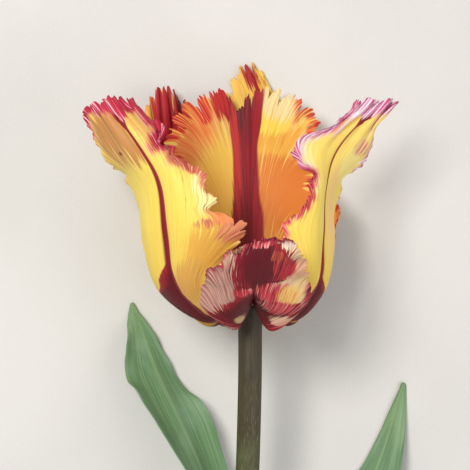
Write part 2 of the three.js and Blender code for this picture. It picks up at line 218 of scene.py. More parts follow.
# %% The wires of the outer petals
PETALS |= {
    "petal_outer_front": dict(
        side=1, seed=3, fan=(0.5, 1.6), tip_drop=0.03, cheek=0.6,
        rows=[
            [seat(OUTER_RING, 6), seat(OUTER_RING, -28), seat(OUTER_RING, 38), 0, 0],
            [[1, 2, 15], [-6, -9.5, 18], [9, -10, 18], 8, 8],
            [[1, 1.5, 28], [-18, -2, 28.5], [21, -0.5, 28], 5, 5],
            [[1.2, 5, 40.5], [-17.5, 6.5, 35.5], [21.5, 7.5, 34.5], 0.5, 0.5],
            [[1.6, 10.5, 48.5], [-14, 12, 42.5], [20, 14, 41], 0, 0],
            [[2.4, 16, 53.5], [-8, 17, 49.5], [17, 19, 47.5], 0, 0],
            [[3.5, 22.5, 56.5], [-3, 18.5, 54.8], [13, 23, 52.3], 0, 0],
        ],
    ),
    "petal_outer_back_left": dict(
        side=-1, seed=5, rests=True,
        rows=[
            [seat(OUTER_RING, -120), seat(OUTER_RING, -95), seat(OUTER_RING, -145), 0, 0],
            [[-12, -11, -14], [-17, -10.5, -5], [-4, -11, -17], 1, 1],
            [[-19, -3, -25], [-30, 1, -11], [-6, -3, -32], 1, 1],
            [[-24, 13, -33], [-38.5, 14.5, -14.2], [-8, 13, -39.5], 1, 1],
            [[-28, 33, -37], [-40, 33, -17], [-11, 33, -42], 1, 1],
            [[-31, 55, -37], [-41, 55, -23], [-16, 55, -42], 0, 0],
            [[-34, 83, -33], [-41.5, 79, -26], [-26, 81, -38], 0, 0],
        ],
    ),
    "petal_outer_back_right": dict(
        side=-1, seed=6, rests=True,
        rows=[
            [seat(OUTER_RING, 120), seat(OUTER_RING, 145), seat(OUTER_RING, 95), 0, 0],
            [[12, -11, -14], [4, -11, -17], [17, -9.5, -5], 1, 1],
            [[19, -3, -25], [5, -3, -32], [23.6, 2, -10], 1, 1],
            [[22, 13, -33], [4, 13, -39.5], [32, 17, -11], 1, 1],
            [[20, 34, -38.5], [2, 34, -42], [33.5, 35, -17], 1, 1],
            [[11, 61, -41], [-7, 62, -42], [20, 62, -38.5], 0, 0],
            [[-1, 92.5, -39.5], [-13, 87, -40.5], [4, 91, -39], 0, 0],
        ],
    ),
}

print(len(PETALS), "petals, each drawn with", len(PETALS["petal_inner_left"]["rows"]), "stations")

# %% [markdown]
# A leaf is drawn with the same three wires. It clasps the stem with its foot, bends away and lies
# down, so its last stations run just above the table.

# %% The wires of the leaves
LEAVES = {
    "leaf_upper": dict(
        seed=7,
        rows=[
            [[-8.3, -106, -14.7], [-3.1, -106, -8.6], [-3.1, -106, -20.8], 0.5, 0.5],
            [[-12, -86, -14], [-13, -84, -1], [-4, -91, -23], 1, 1],
            [[-20, -66, -22], [-29, -60, -8], [-8, -71, -29], 1, 1],
            [[-29, -47, -28], [-42, -42, -19], [-15, -51, -31], 1, 1],
            [[-37, -31, -35], [-49, -28, -29], [-26, -36, -37], 1, 1],
            [[-42, -18, -38.5], [-49, -17, -36.5], [-36, -21, -40], 0, 0],
            [[-47, -4, -41], [-47.5, -5, -40.8], [-46.5, -5, -41], 0, 0],
        ],
    ),
    "leaf_lower": dict(
        seed=8,
        rows=[
            [[0.3, -188, -33.2], [-4.7, -188, -39.1], [-4.7, -188, -27.3], 0.4, 0.4],
            [[6, -164, -33], [-3, -169, -41], [7, -161, -17], 1, 1],
            [[18, -138, -37], [2, -143, -41.5], [29, -131, -22], 1, 1],
            [[31, -111, -36], [14, -116, -41], [47, -106, -27], 1, 1],
            [[44, -86, -38.5], [30, -91, -41.5], [58, -83, -32], 1, 1],
            [[54, -63, -40], [46, -67, -41.5], [62, -61, -37], 0, 0],
            [[62, -36, -41.2], [61.5, -37, -41.3], [62.5, -37, -41], 0, 0],
        ],
    ),
}

print(len(LEAVES), "leaves")

# %% [markdown]
# The edge of a parrot tulip is cut into tongues and teeth and waved, and that of a leaf is only
# waved. Drawing each tooth would take hundreds of points, so a few numbers do it: how many tongues
# and teeth there are and how deep they go, and how many waves run along a margin and how high.
# What a petal or leaf says itself wins over these.

# %% How the edges are cut and waved
WHOLE_EDGE = dict(cheek=1, slits=[], notch=None, tip_tongues=1, tip_cut=0, tip_drop=0, tip_wave=0)
PETAL_EDGE = dict(
    WHOLE_EDGE, thickness=PETAL_THICKNESS, fan=(1.2, 2.5), rests=False,
    tip_tongues=7, tip_cut=0.035, tip_drop=0.05, tip_wave=0.8,
    side_teeth=9, side_cut=0.1, waves=5, wave_height=1.2,
)
LEAF_EDGE = dict(
    WHOLE_EDGE, thickness=LEAF_THICKNESS, side=-1, rests=True,
    side_teeth=1, side_cut=0, waves=2.5, wave_height=2.2,
)
FORMS = {name: {**PETAL_EDGE, **form} for name, form in PETALS.items()}
FORMS.update({name: {**LEAF_EDGE, **form} for name, form in LEAVES.items()})
print("a petal's margin has", PETAL_EDGE["side_teeth"], "teeth, and a leaf's", LEAF_EDGE["waves"], "waves")

# %% [markdown]
# ## The skin between the wires
#
# The skin is a surface with two directions: u from base to tip, and v from the left margin to the
# right one. Across the petal it is a parabola through the three wires, pushed out a little on both
# halves. Near the tip u is shortened, which cuts the tongues, and near the margins v is
# shortened, which cuts the teeth and the deep slits. Cutting a finished sheet with other shapes
# would do it too, but it would leave ragged faces, and here every face stays whole.

# %% How the edges shorten the skin
def tip_shortening(form, v):
    """How far along the wires the petal reaches at v, after its tongues and its notch."""
    seed = form["seed"]
    tongues = slit(v * form["tip_tongues"] / 2 + 0.13 * seed + 0.35 * wobble(v * 3, seed))
    end = 1 - form["tip_drop"] * np.abs(v) ** 3
    end = end - form["tip_cut"] * tongues * (1 + 0.6 * wobble(v * 9, seed + 2))
    if form["notch"]:
        place, width, depth = form["notch"]
        end = end - depth * np.exp(-(((v - place) / width) ** 2))
    return end


def margin_cut(form, u, hand):
    """How much of the half petal the teeth and slits of one margin take away at u."""
    seed = form["seed"]
    place = u * form["side_teeth"] + hand * 0.23 * seed + 0.4 * wobble(u * 6, seed + hand)
    cut = slit(place) * form["side_cut"] * (1 + 0.6 * wobble(u * 9, seed + 3 * hand))
    cut = cut * ease(0.3, 0.55, u)
    for margin, at, width, depth in form["slits"]:
        cut = cut + (hand == margin) * depth * np.exp(-(((u - at) / width) ** 2))
    return cut


print("the left petal's deepest slit takes", round(float(
    margin_cut(FORMS["petal_inner_left"], np.linspace(0, 1, 400), 1).max()), 2), "of its right half")

# %% [markdown]
# The skin itself is one formula for all eight blades. The wires are read at their place along the
# blade, the parabola is laid through them, and the fullness, the waves of the margins and those of
# the tip are added square to the skin. Last, a blade that would sink into the table flattens
# softly on it, as a heavy petal does.

# %% The surface of a blade
def rest_on_table(form, points):
    """Points of a blade, lifted to the table where they would pass through it."""
    soft = 1.5
    height = TABLE_HEIGHT + form["thickness"] / 2 + 0.05
    over = np.clip(points[..., 2] - height, -soft, None)
    points[..., 2] = height + np.where(over > soft, over, (over + soft) ** 2 / (4 * soft))


def blade_point(form, u, v):
    """Points of the middle surface of a blade, in millimetres."""
    seed = form["seed"]
    q = np.abs(v)
    hand = np.where(v < 0, -1, 1)
    t = np.minimum(u * (1 + (tip_shortening(form, v) - 1) * ease(0.5, 1, u)), 1)
    across = v * (1 - margin_cut(form, u, hand) * q**3)

    midrib, left, right, *fullness = (along([row[k] for row in form["rows"]], t) for k in range(5))
    step = 0.001
    spine = [row[0] for row in form["rows"]]
    rise = unit(along(spine, np.minimum(t + step, 1)) - along(spine, np.maximum(t - step, 0)))
    span = right - left
    outwards = unit(np.cross(span, rise)) * form["side"]

    a = np.abs(across)
    full = np.where(hand < 0, *fullness) * np.maximum(4 * a * (1 - a), 0) ** form["cheek"]
    phase = 2 * np.pi * form["waves"] * u + 1.9 * seed + 2.2 * hand + 1.2 * wobble(u * 4, seed)
    margin_wave = form["wave_height"] * q**3 * ease(0.3, 0.6, u) * np.sin(phase)
    tip_wave = form["tip_wave"] * ease(0.75, 1, u) * np.sin(np.pi * v * 5 + seed)

    point = midrib + across[..., None] / 2 * span
    point = point + (across**2)[..., None] * ((right + left) / 2 - midrib)
    point = point + (full + margin_wave + tip_wave)[..., None] * outwards
    if form["rests"]:
        rest_on_table(form, point)
    return point


def line_length(points):
    """Length of a line of points."""
    return np.linalg.norm(np.diff(points, axis=0), axis=-1).sum()


for name, form in FORMS.items():
    line = blade_point(form, np.linspace(0, 1, 200), np.zeros(200))
    print(name, "is", round(float(line_length(line))), "mm long over its midrib")

# %% [markdown]
# ## Where the flower lies in the frame
#
# The wires are drawn about the top of the stem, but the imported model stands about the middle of
# the flower's footprint. The shift between the two could be typed in, but it would be wrong as soon
# as a petal changed. So it is read off one plain petal: the same petal is worked out here on the
# same grid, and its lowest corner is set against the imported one. Two other petals prove it.

# %% Find the shift, and prove it
PLAIN_GRID = (24, 22)


def even_grid(rows, columns):
    """The u and v of an even grid over a blade."""
    return np.meshgrid(np.linspace(0, 1, rows + 1), np.linspace(-1, 1, columns + 1), indexing="ij")


def blade_normals(points):
    """Normals of a grid of points, from the differences between its neighbours."""
    along_u = np.gradient(points, axis=0)
    along_v = np.gradient(points, axis=1)
    return unit(np.cross(along_v, along_u))


def plain_corners(name):
    """Lowest and highest corner of a broad petal on the plain model's grid, in millimetres."""
    form = FORMS[name]
    points = blade_point(form, *even_grid(*PLAIN_GRID))
    offset = blade_normals(points) * form["thickness"] / 2
    both = np.concatenate([points + offset, points - offset]).reshape(-1, 3)
    return both.min(0), both.max(0)


lowest, _ = plain_corners("petal_inner_back")
SHIFT = np.array(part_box("petal_inner_back")[0]) / MM - lowest
for name in ("petal_inner_left", "petal_outer_front"):
    low, high = plain_corners(name)
    packed_low, packed_high = (np.array(corner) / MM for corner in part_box(name))
    miss = max(np.abs(low + SHIFT - packed_low).max(), np.abs(high + SHIFT - packed_high).max())
    print(name, "lies within", round(float(miss), 3), "mm of the packed one")
print("the top of the stem is at", SHIFT.round(2), "mm")

# %% [markdown]
# ## Laying a petal out along its veins
#
# A plain grid has few points where a parrot tulip needs most of them, in its cut edge. The veins
# of a tulip petal start side by side at the base, run up it and bend out to the margins and the
# tip, so each column of the fine grid follows one vein and ends at the edge. The columns are
# spread evenly along the cut edge, about half a millimetre apart where the petal shows, and the
# rows crowd towards it. A fringe is then simple: some veins end a few millimetres sooner than
# their neighbours.

# %% The grid of veins
def edge_lengths(form, hand):
    """Length of the tip's edge and of the side margin of one half, in millimetres."""
    steps = np.linspace(0, 1, 120)
    tip = blade_point(form, np.ones(120), hand * steps)
    side = blade_point(form, steps, np.full(120, float(hand)))
    return line_length(tip), line_length(side)


def vein_ends(form, spacing):
    """Where each vein ends and starts, how squarely it meets the margin, and its place on the rim."""
    bundle, _ = form["fan"]
    foot = 0.02
    halves = []
    for hand in (-1, 1):
        tip, side = edge_lengths(form, hand)
        count = int((tip + side) / spacing)
        s = np.linspace(0, 1, count + 1)[1:] if hand > 0 else np.linspace(1, 0, count + 1)
        share = tip / (tip + side)
        end_u = np.where(s < share, 1, 1 - (s - share) / (1 - share) * (1 - foot))
        end_v = np.minimum(s / share, 1)
        start_v = 1 - (1 - s) ** bundle
        square = 0.9 * ease(share, share + 0.15, s)
        halves.append([hand * end_v, end_u, hand * start_v, square, hand * s * (tip + side)])
    return (np.concatenate(pair)[None, :] for pair in zip(*halves))


SHOWING = dict(spacing=0.45, row_count=46)
HIDDEN = dict(spacing=0.8, row_count=40)
end_v, *_ = vein_ends(FORMS["petal_inner_left"], SHOWING["spacing"])
print("the left petal has", end_v.size, "veins")

# %% [markdown]
# The fringe is cut by two combs at once, a fine one and one about three times as coarse, with
# tongues of uneven width. Each petal has its own: how deep and how wide its tongues are, how the
# depth changes from base to tip (cut), how much shallower it is on the left margin, and a few deep
# notches. The rest says how lively the edge is, in millimetres: frill is a slow wave, curl bends
# each tongue its own way, and roll turns the whole rim outwards.

# %% The fringes
def fringe_depth(form, rim, end_u):
    """How many millimetres the fringe cuts in at a place of the rim, and how far up a tongue it is."""
    seed = form["seed"]
    fringe = form["fringe"]
    x = rim / fringe["pitch"] + 0.8 * wobble(rim / 9, seed)
    fine = slit(x, 0.6) * (1 + 0.6 * wobble(rim / 5, seed + 1))
    coarse = slit(x / 3.3 + seed, 0.5)
    depth = fringe["depth"] * np.clip(0.6 * fine + 0.55 * coarse, 0, 1.3)
    depth = depth * along(fringe["cut"], end_u) * np.where(rim < 0, fringe["left"], 1)
    for hand, at, width, deep in fringe["notches"]:
        depth = depth + (np.sign(rim) == hand) * deep * np.exp(-(((end_u - at) / width) ** 2))
    return depth, np.abs(np.sin(np.pi * x))


FRINGE = dict(
    depth=3, pitch=2.6, cut=[0, 0, 0.4, 0.5, 0.8, 1, 1], left=1, notches=[], frill=0.8, curl=0.5, roll=0.6,
)
FRINGES = {
    "petal_inner_left": dict(
        FRINGE, frill=0.9, roll=1.4, left=0.3, cut=[0, 0, 0.4, 0.5, 0.8, 0.8, 0.6],
        notches=[(1, 0.55, 0.006, 2.5), (1, 0.517, 0.007, 4), (1, 0.47, 0.006, 1.5)],
    ),
    "petal_inner_right": dict(FRINGE, frill=0.9, roll=1.4),
    "petal_inner_back": dict(FRINGE, depth=4, pitch=3.2, curl=0.3, frill=0.4),
    "petal_outer_front": dict(
        FRINGE, depth=0.8, pitch=2.2, cut=[0, 0.3, 0.6, 0.8, 1, 1], frill=0.4, curl=0.3,
    ),
    "petal_outer_back_left": dict(FRINGE, depth=2.2, pitch=6, frill=0.4, curl=0.15, roll=0.3),
    "petal_outer_back_right": FRINGE,
}
for node, fringe in FRINGES.items():
    FORMS[node]["fringe"] = fringe
    print(node, "has tongues", fringe["pitch"], "mm wide, cut", fringe["depth"], "mm deep")

# %% [markdown]
# ## A closed blade from the grid
#
# A petal is a sheet with two faces and a rim. Blender's Solidify modifier could thicken a skin, but
# by one even measure, and the two faces would then look the same to the paint. Here both faces and
# the rim between them are laid out from the grid. Facts that the painting needs are stored on the
# mesh: the petal's own coordinates as a UV map, and on every point which face it is on, with any
# others that the petal brings.

# %% Two faces and a rim
def add_object(name, data):
    """Put a mesh, a lamp or a camera in the scene."""
    made = bpy.data.objects.new(name, data)
    bpy.context.scene.collection.objects.link(made)
    return made


def triangles(mesh):
    return sum(len(face.vertices) - 2 for face in mesh.polygons)


def blade_solid(name, points, thickness, facts, uv, outside):
    """A closed mesh over a grid of middle points, moved to the frame. Facts are kept for painting."""
    rows, columns = points.shape[:2]
    normals = blade_normals(points) * outside
    half = (thickness / 2)[..., None] * normals
    vertices = np.concatenate([(points + half).reshape(-1, 3), (points - half).reshape(-1, 3)])
    under = rows * columns
    index = np.arange(under).reshape(rows, columns)
    quads = np.stack([index[:-1, :-1], index[:-1, 1:], index[1:, 1:], index[1:, :-1]], -1).reshape(-1, 4)
    rim = np.concatenate([index[0, :-1], index[:-1, -1], index[-1, :0:-1], index[:0:-1, 0]])
    after = np.roll(rim, -1)
    wall = np.stack([after, rim, rim + under, after + under], -1)
    faces = np.concatenate([quads, quads[:, ::-1] + under, wall])[:, ::outside]

    mesh = bpy.data.meshes.new(name)
    mesh.from_pydata(((vertices + SHIFT) * MM).tolist(), [], faces.tolist())
    mesh.polygons.foreach_set("use_smooth", [True] * len(faces))
    facts = dict(facts, inner=np.zeros((rows, columns)))
    for key, values in facts.items():
        grid = np.broadcast_to(values, (rows, columns)).reshape(-1)
        below = np.ones(under) if key == "inner" else grid
        attribute = mesh.attributes.new(key, "FLOAT", "POINT")
        attribute.data.foreach_set("value", np.concatenate([grid, below]).astype(np.float32))
    layer = mesh.uv_layers.new(name="blade")
    flat = np.stack([np.broadcast_to(part, (rows, columns)).reshape(-1) for part in uv], -1)
    flat = np.concatenate([flat, flat])
    corners = np.empty(len(mesh.loops), np.int32)
    mesh.loops.foreach_get("vertex_index", corners)
    layer.data.foreach_set("uv", flat[corners].astype(np.float32).reshape(-1))
    print(name, "has", triangles(mesh), "triangles")
    return add_object(name, mesh)


# %% [markdown]
# Two lengths steer the work on the edge: how much of its vein a point still has before it, and how
# far it is from the nearest point of the rim. Adding up small steps gives the first. The second is
# asked for tens of thousands of times, so the rim's points are kept in a tree that finds near
# neighbours fast.

# %% Lengths to the edge
def length_to_go(points):
    """Length of each column of a grid from every one of its points to its last one."""
    lengths = np.linalg.norm(np.diff(points, axis=0), axis=-1)
    return np.concatenate([np.cumsum(lengths[::-1], axis=0)[::-1], np.zeros_like(lengths[:1])])


def distance_to_rim(points):
    """Distance of every point of a grid from its last row, in millimetres."""
    rim = points[-1]
    tree = KDTree(len(rim))
    for number, point in enumerate(rim):
        tree.insert(point, number)
    tree.balance()
    return np.array([[tree.find(point)[2] for point in row] for row in points])


# %% [markdown]
# Now a petal can be laid out. Its veins are followed to the edge, each is cut off where the
# fringe says, and the edge gets its life: frills, a roll outwards where the real petal curls, and
# tongues that bend their own way. All three die away within a few millimetres of the edge. The
# blade is full in the middle and thinner at its rim. For the paint, every point keeps its distance
# from the edge, its tongue and its place along the rim.

# %% Lay out a petal
def petal_piece(name, form, spacing, row_count):
    """A fine petal with its fringe, laid out along its veins."""
    end_v, end_u, start_v, square, rim = vein_ends(form, spacing)
    _, bend = form["fan"]
    uncut = dict(form, tip_cut=0, side_cut=0)

    def on_vein(r):
        u = end_u * (r + square * (r - r**3) / 2)
        v = start_v + (end_v - start_v) * r**bend
        return blade_point(uncut, u, v), u, v

    depth, tongue = fringe_depth(form, rim, end_u)
    plain_cut = blade_point(form, end_u, end_v) - blade_point(uncut, end_u, end_v)
    depth = depth + np.linalg.norm(plain_cut, axis=-1)
    steps = np.linspace(0, 1, 101)
    to_go = length_to_go(on_vein(steps[:, None])[0])
    cut_at = np.array([np.interp(d, lengths[::-1], steps[::-1]) for d, lengths in zip(depth[0], to_go.T)])
    reach = 1 - (1 - np.linspace(0, 1, row_count + 1)[:, None]) ** 1.4
    points, u, v = on_vein(reach * (1 - (1 - cut_at) * reach**2))
    print(name, "veins are cut off by at most", round(float(1 - cut_at.min()), 2), "of their length")
    to_edge = length_to_go(points)
    to_rim = to_edge + depth

    seed = form["seed"]
    fringe = form["fringe"]
    lively = ease(0.15, 0.45, end_u)
    frill = np.sin(rim / 4 + 2 * wobble(rim / 11, seed + 4))
    curl = wobble(rim / fringe["pitch"] * 0.6, seed + 7)
    lift = fringe["frill"] * frill * np.exp(-to_rim / 6) + fringe["curl"] * curl * np.exp(-to_rim / 2.5)
    lift = lift + fringe["roll"] * np.exp(-to_rim / 4) * ease(0.5, 0.9, end_u)
    points = points + (lift * lively)[..., None] * blade_normals(points) * form["side"]
    if form["rests"]:
        rest_on_table(form, points)

    thickness = form["thickness"] * (0.4 + 0.6 * ease(0, 6, to_edge))
    thickness = thickness + (form["thickness"] - thickness) * (1 - ease(0.1, 0.3, end_u))
    facts = dict(edge=distance_to_rim(points), tongue=tongue, rim=rim)
    return blade_solid(name, points, thickness, facts, ((v + 1) / 2, u), form["side"])


pieces = {}
for node in PETALS:
    fineness = HIDDEN if node.startswith("petal_outer_back") else SHOWING
    pieces[node] = petal_piece(node.replace("petal_", "") + "_petal", FORMS[node], **fineness)

# %% [markdown]
# ## Writing finishes as sums
#
# A finish is worked out by a tree of small nodes. Drawn by hand, a petal's tree would have two
# hundred boxes, so it is written as Python sums here. A Strand is one wire of the tree, and plus,
# minus, times, divide and power on strands each add a Math node.

# %% Strands
class Strand:
    """A wire of a node tree, on which arithmetic adds Math nodes."""

    def __init__(self, bench, socket):
        self.bench = bench
        self.socket = socket

    def __add__(self, other):
        return self.bench.maths("ADD", self, other)

    def __sub__(self, other):
        return self.bench.maths("SUBTRACT", self, other)

    def __rsub__(self, other):
        return self.bench.maths("SUBTRACT", other, self)

    def __mul__(self, other):
        return self.bench.maths("MULTIPLY", self, other)

    def __truediv__(self, other):
        return self.bench.maths("DIVIDE", self, other)

    def __pow__(self, other):
        return self.bench.maths("POWER", self, other)

    __radd__ = __add__
    __rmul__ = __mul__


# %% [markdown]
# The strands are laid on a Bench, which is one node tree. Every node that isn't a sum comes from
# its method node, which takes the type, the settings and what goes into the sockets. The methods
# after it are short names for the few nodes that a finish needs over and over.

# %% The bench
class Bench:
    """A node tree, written down node by node."""

    def __init__(self, tree):
        self.tree = tree

    def node(self, kind, settings=None, sockets=None, out=0):
        """One node of any kind: its settings first, then the values or strands of its sockets."""
        made = self.tree.nodes.new(kind)
        for name, value in (settings or {}).items():
            if name == "stops":
                self.set_stops(made.color_ramp, value)
            else:
                setattr(made, name, value)
        for name, value in (sockets or {}).items():
            socket = next(s for s in made.inputs if s.identifier == name)
            if isinstance(value, Strand):
                self.tree.links.new(value.socket, socket)
            else:
                socket.default_value = value
        return Strand(self, made.outputs[out])

    @staticmethod
    def set_stops(ramp, stops):
        ramp.interpolation = "EASE"
        ramp.elements.remove(ramp.elements[1])
        for number, (place, shade) in enumerate(stops):
            element = ramp.elements.new(place) if number else ramp.elements[0]
            element.position = place
            element.color = shade if isinstance(shade, tuple) else (shade, shade, shade, 1)

    def maths(self, operation, first, second=0.0):
        sockets = {"Value": first, "Value_001": second}
        return self.node("ShaderNodeMath", {"operation": operation}, sockets)

    def step(self, start, end, x):
        """A smooth step from 0 at the start to 1 at the end, also where the start is the higher."""
        if not isinstance(start, Strand) and not isinstance(end, Strand) and start > end:
            return 1 - self.step(end, start, x)
        sockets = {"Value": x, "From Min": start, "From Max": end}
        return self.node("ShaderNodeMapRange", {"interpolation_type": "SMOOTHSTEP"}, sockets)

    def join(self, x, y, z=0.0):
        return self.node("ShaderNodeCombineXYZ", sockets={"X": x, "Y": y, "Z": z})

    def split(self, vector):
        parts = self.node("ShaderNodeSeparateXYZ", sockets={"Vector": vector})
        return [Strand(self, socket) for socket in parts.socket.node.outputs]

    def noise(self, vector, scale=1.0, detail=2.0, roughness=0.5):
        sockets = {"Vector": vector, "Scale": scale, "Detail": detail, "Roughness": roughness}
        return self.node("ShaderNodeTexNoise", sockets=sockets)

    def fact(self, name):
        """A number stored on the mesh."""
        return self.node("ShaderNodeAttribute", {"attribute_name": name}, out=2)

    def profile(self, x, stops):
        """A curve given by stops over x from 0 to 1, with values from 0 to 1."""
        ramp = self.node("ShaderNodeValToRGB", {"stops": stops}, {"Fac": x})
        return self.node("ShaderNodeSeparateColor", sockets={"Color": ramp})

    def colours(self, x, stops):
        """A row of pigments over x from 0 to 1."""
        painted = [(place, pigment(code)) for place, code in stops]
        return self.node("ShaderNodeValToRGB", {"stops": painted}, {"Fac": x})

    def tint(self, mask, under, over):
        """One colour laid over another where the mask is 1."""
        over = pigment(over) if isinstance(over, str) else over
        sockets = {"Factor_Float": mask, "A_Color": under, "B_Color": over}
        return self.node("ShaderNodeMix", {"data_type": "RGBA"}, sockets, out=2)

    def bump(self, height, strength, depth):
        """Relief for a shader's Normal, with its depth in millimetres."""
        sockets = {"Strength": strength, "Distance": depth * MM, "Height": height}
        return self.node("ShaderNodeBump", sockets=sockets)


# %% [markdown]
# A pigment is written as painters of screens write it, as #RRGGBB. Blender's shaders count light
# evenly, so each part is bent to that scale first. A finish is one material: what is the same all
# over it is set on the shader's own sockets, and what changes is laid on as strands.

# %% Pigments and finishes
def pigment(code):
    """A colour written as #RRGGBB, as the shader wants it."""
    parts = [int(code[k : k + 2], 16) / 255 for k in (1, 3, 5)]
    return (*(p / 12.92 if p <= 0.04045 else ((p + 0.055) / 1.055) ** 2.4 for p in parts), 1)


def new_finish(name, **constants):
    """A material with its constants set on the shader's own sockets, and the bench to paint it on."""
    material = bpy.data.materials.new(name)
    material.use_nodes = True
    shader = material.node_tree.nodes["Principled BSDF"]
    for socket, value in constants.items():
        shader.inputs[socket.replace("_", " ")].default_value = value
    return material, Bench(material.node_tree), shader


def lay_on(bench, shader, **strands):
    for socket, strand in strands.items():
        bench.tree.links.new(strand.socket, shader.inputs[socket.replace("_", " ")])


print("crimson as the shader sees it:", [round(part, 3) for part in pigment("#9A1F2E")])

# %% [markdown]
# ## The paint of a petal
#
# A parrot tulip's petal is yellow, with a crimson flame up its midrib that widens to a dark foot.
# The flame's edge breaks into fibres along the veins, and the cut rim is striped in rose, white
# and crimson, one stripe to a tongue. A painted picture of each petal could do it, but it would be
# sharp only from afar. All of these marks follow the petal, so they are worked out in its own
# coordinates instead: u from base to tip and v across.
#
# First come rows of pigments. Each is laid over a noise, so its places run from about 0.3, the
# light slit between two tongues, to about 0.7, the dark middle of one.

# %% Rows of pigments
COMB_CRIMSON = [(0.3, "#F4CCD0"), (0.37, "#DE6C86"), (0.45, "#C42E4A"), (0.66, "#98202F")]
COMB_CORAL = [(0.32, "#F2CFA0"), (0.43, "#DE8E6C"), (0.53, "#C7624E"), (0.66, "#A23C3A")]
COMB_LILAC = [(0.32, "#F6EAEE"), (0.45, "#E3A6C2"), (0.55, "#CB6490"), (0.68, "#AE2F52")]
COMB_RED = [(0.34, "#F6D26A"), (0.45, "#E88448"), (0.55, "#CE3A30"), (0.68, "#9A2028")]
COMB_BEADS = [(0.3, "#F2C0A0"), (0.4, "#E4707A"), (0.5, "#CC3450"), (0.66, "#98202F")]
COMB_MAROON = [(0.30, "#E2A79A"), (0.40, "#B8384A"), (0.50, "#8A1E30"), (0.64, "#5E1622")]
RED_STREAKS = [(0.34, "#EFB0A0"), (0.44, "#DA4652"), (0.55, "#BE2A40"), (0.66, "#981E32")]
TIP_CRIMSON = [(0.3, "#E06A7C"), (0.42, "#C4304A"), (0.6, "#A01C34")]
# the mauve field's streaks: partly the petal's own colour, partly painted shade
MAUVE_AND_SHADE_STREAKS = [(0.32, "#DAB09A"), (0.46, "#C49686"), (0.58, "#AC7672"), (0.68, "#843F48")]

print("a red stripe runs through", [code for _, code in COMB_RED])

# %% [markdown]
# A look is all that one petal's paint is worked out from:
#
# - outer and inner are the pigments of its two faces, from base to tip;
# - left and right are how wide the flame is on each half, over u, as shares of the half;
# - ragged says how far slow fibres and quick hairs fray the flame, and hair how fine they are;
# - heart is where the flame turns darker, as a distance inside its edge;
# - rim_left and rim_right are how wide the striped rim is, over u, in centimetres, and comb is the
#   row of pigments of its stripes, with another one below a height where comb_below is given;
# - bare is how far from the midrib the stripes stay away, on each half;
# - streaks, streak_reach and streak_colour are the red veins that run in from the rim, how strong,
#   how many millimetres long and which colour, and calm_right holds them back on the right half;
# - patches lie under the flame and marks over it, each at (u, v), so long, so wide and so coloured; some
#   of them are painted shade or painted light.

# %% The look that the petals share
LOOK = dict(
    outer=[(0, "#D9A040"), (0.35, "#EECB52"), (0.6, "#F4DA62"), (1, "#F3D06C")],
    inner=[(0, "#D98A30"), (0.5, "#EFAF42"), (1, "#F3C858")],
    ragged=(0.9, 0.5), hair=0.65, heart=(-0.02, -0.25), patches=[], marks=[],
    comb=COMB_RED, comb_below=None, bare=(-1, -1),
    streaks=0.3, streak_reach=12, streak_colour="#D2642A", calm_right=0,
)
print("a petal is ground yellow, such as", LOOK["outer"][2][1])

# %% [markdown]
# The three inner petals make the bloom's yellow. The two in front show a narrow crimson midrib and
# a striped front margin, and the one behind them a wide dark red centre band.

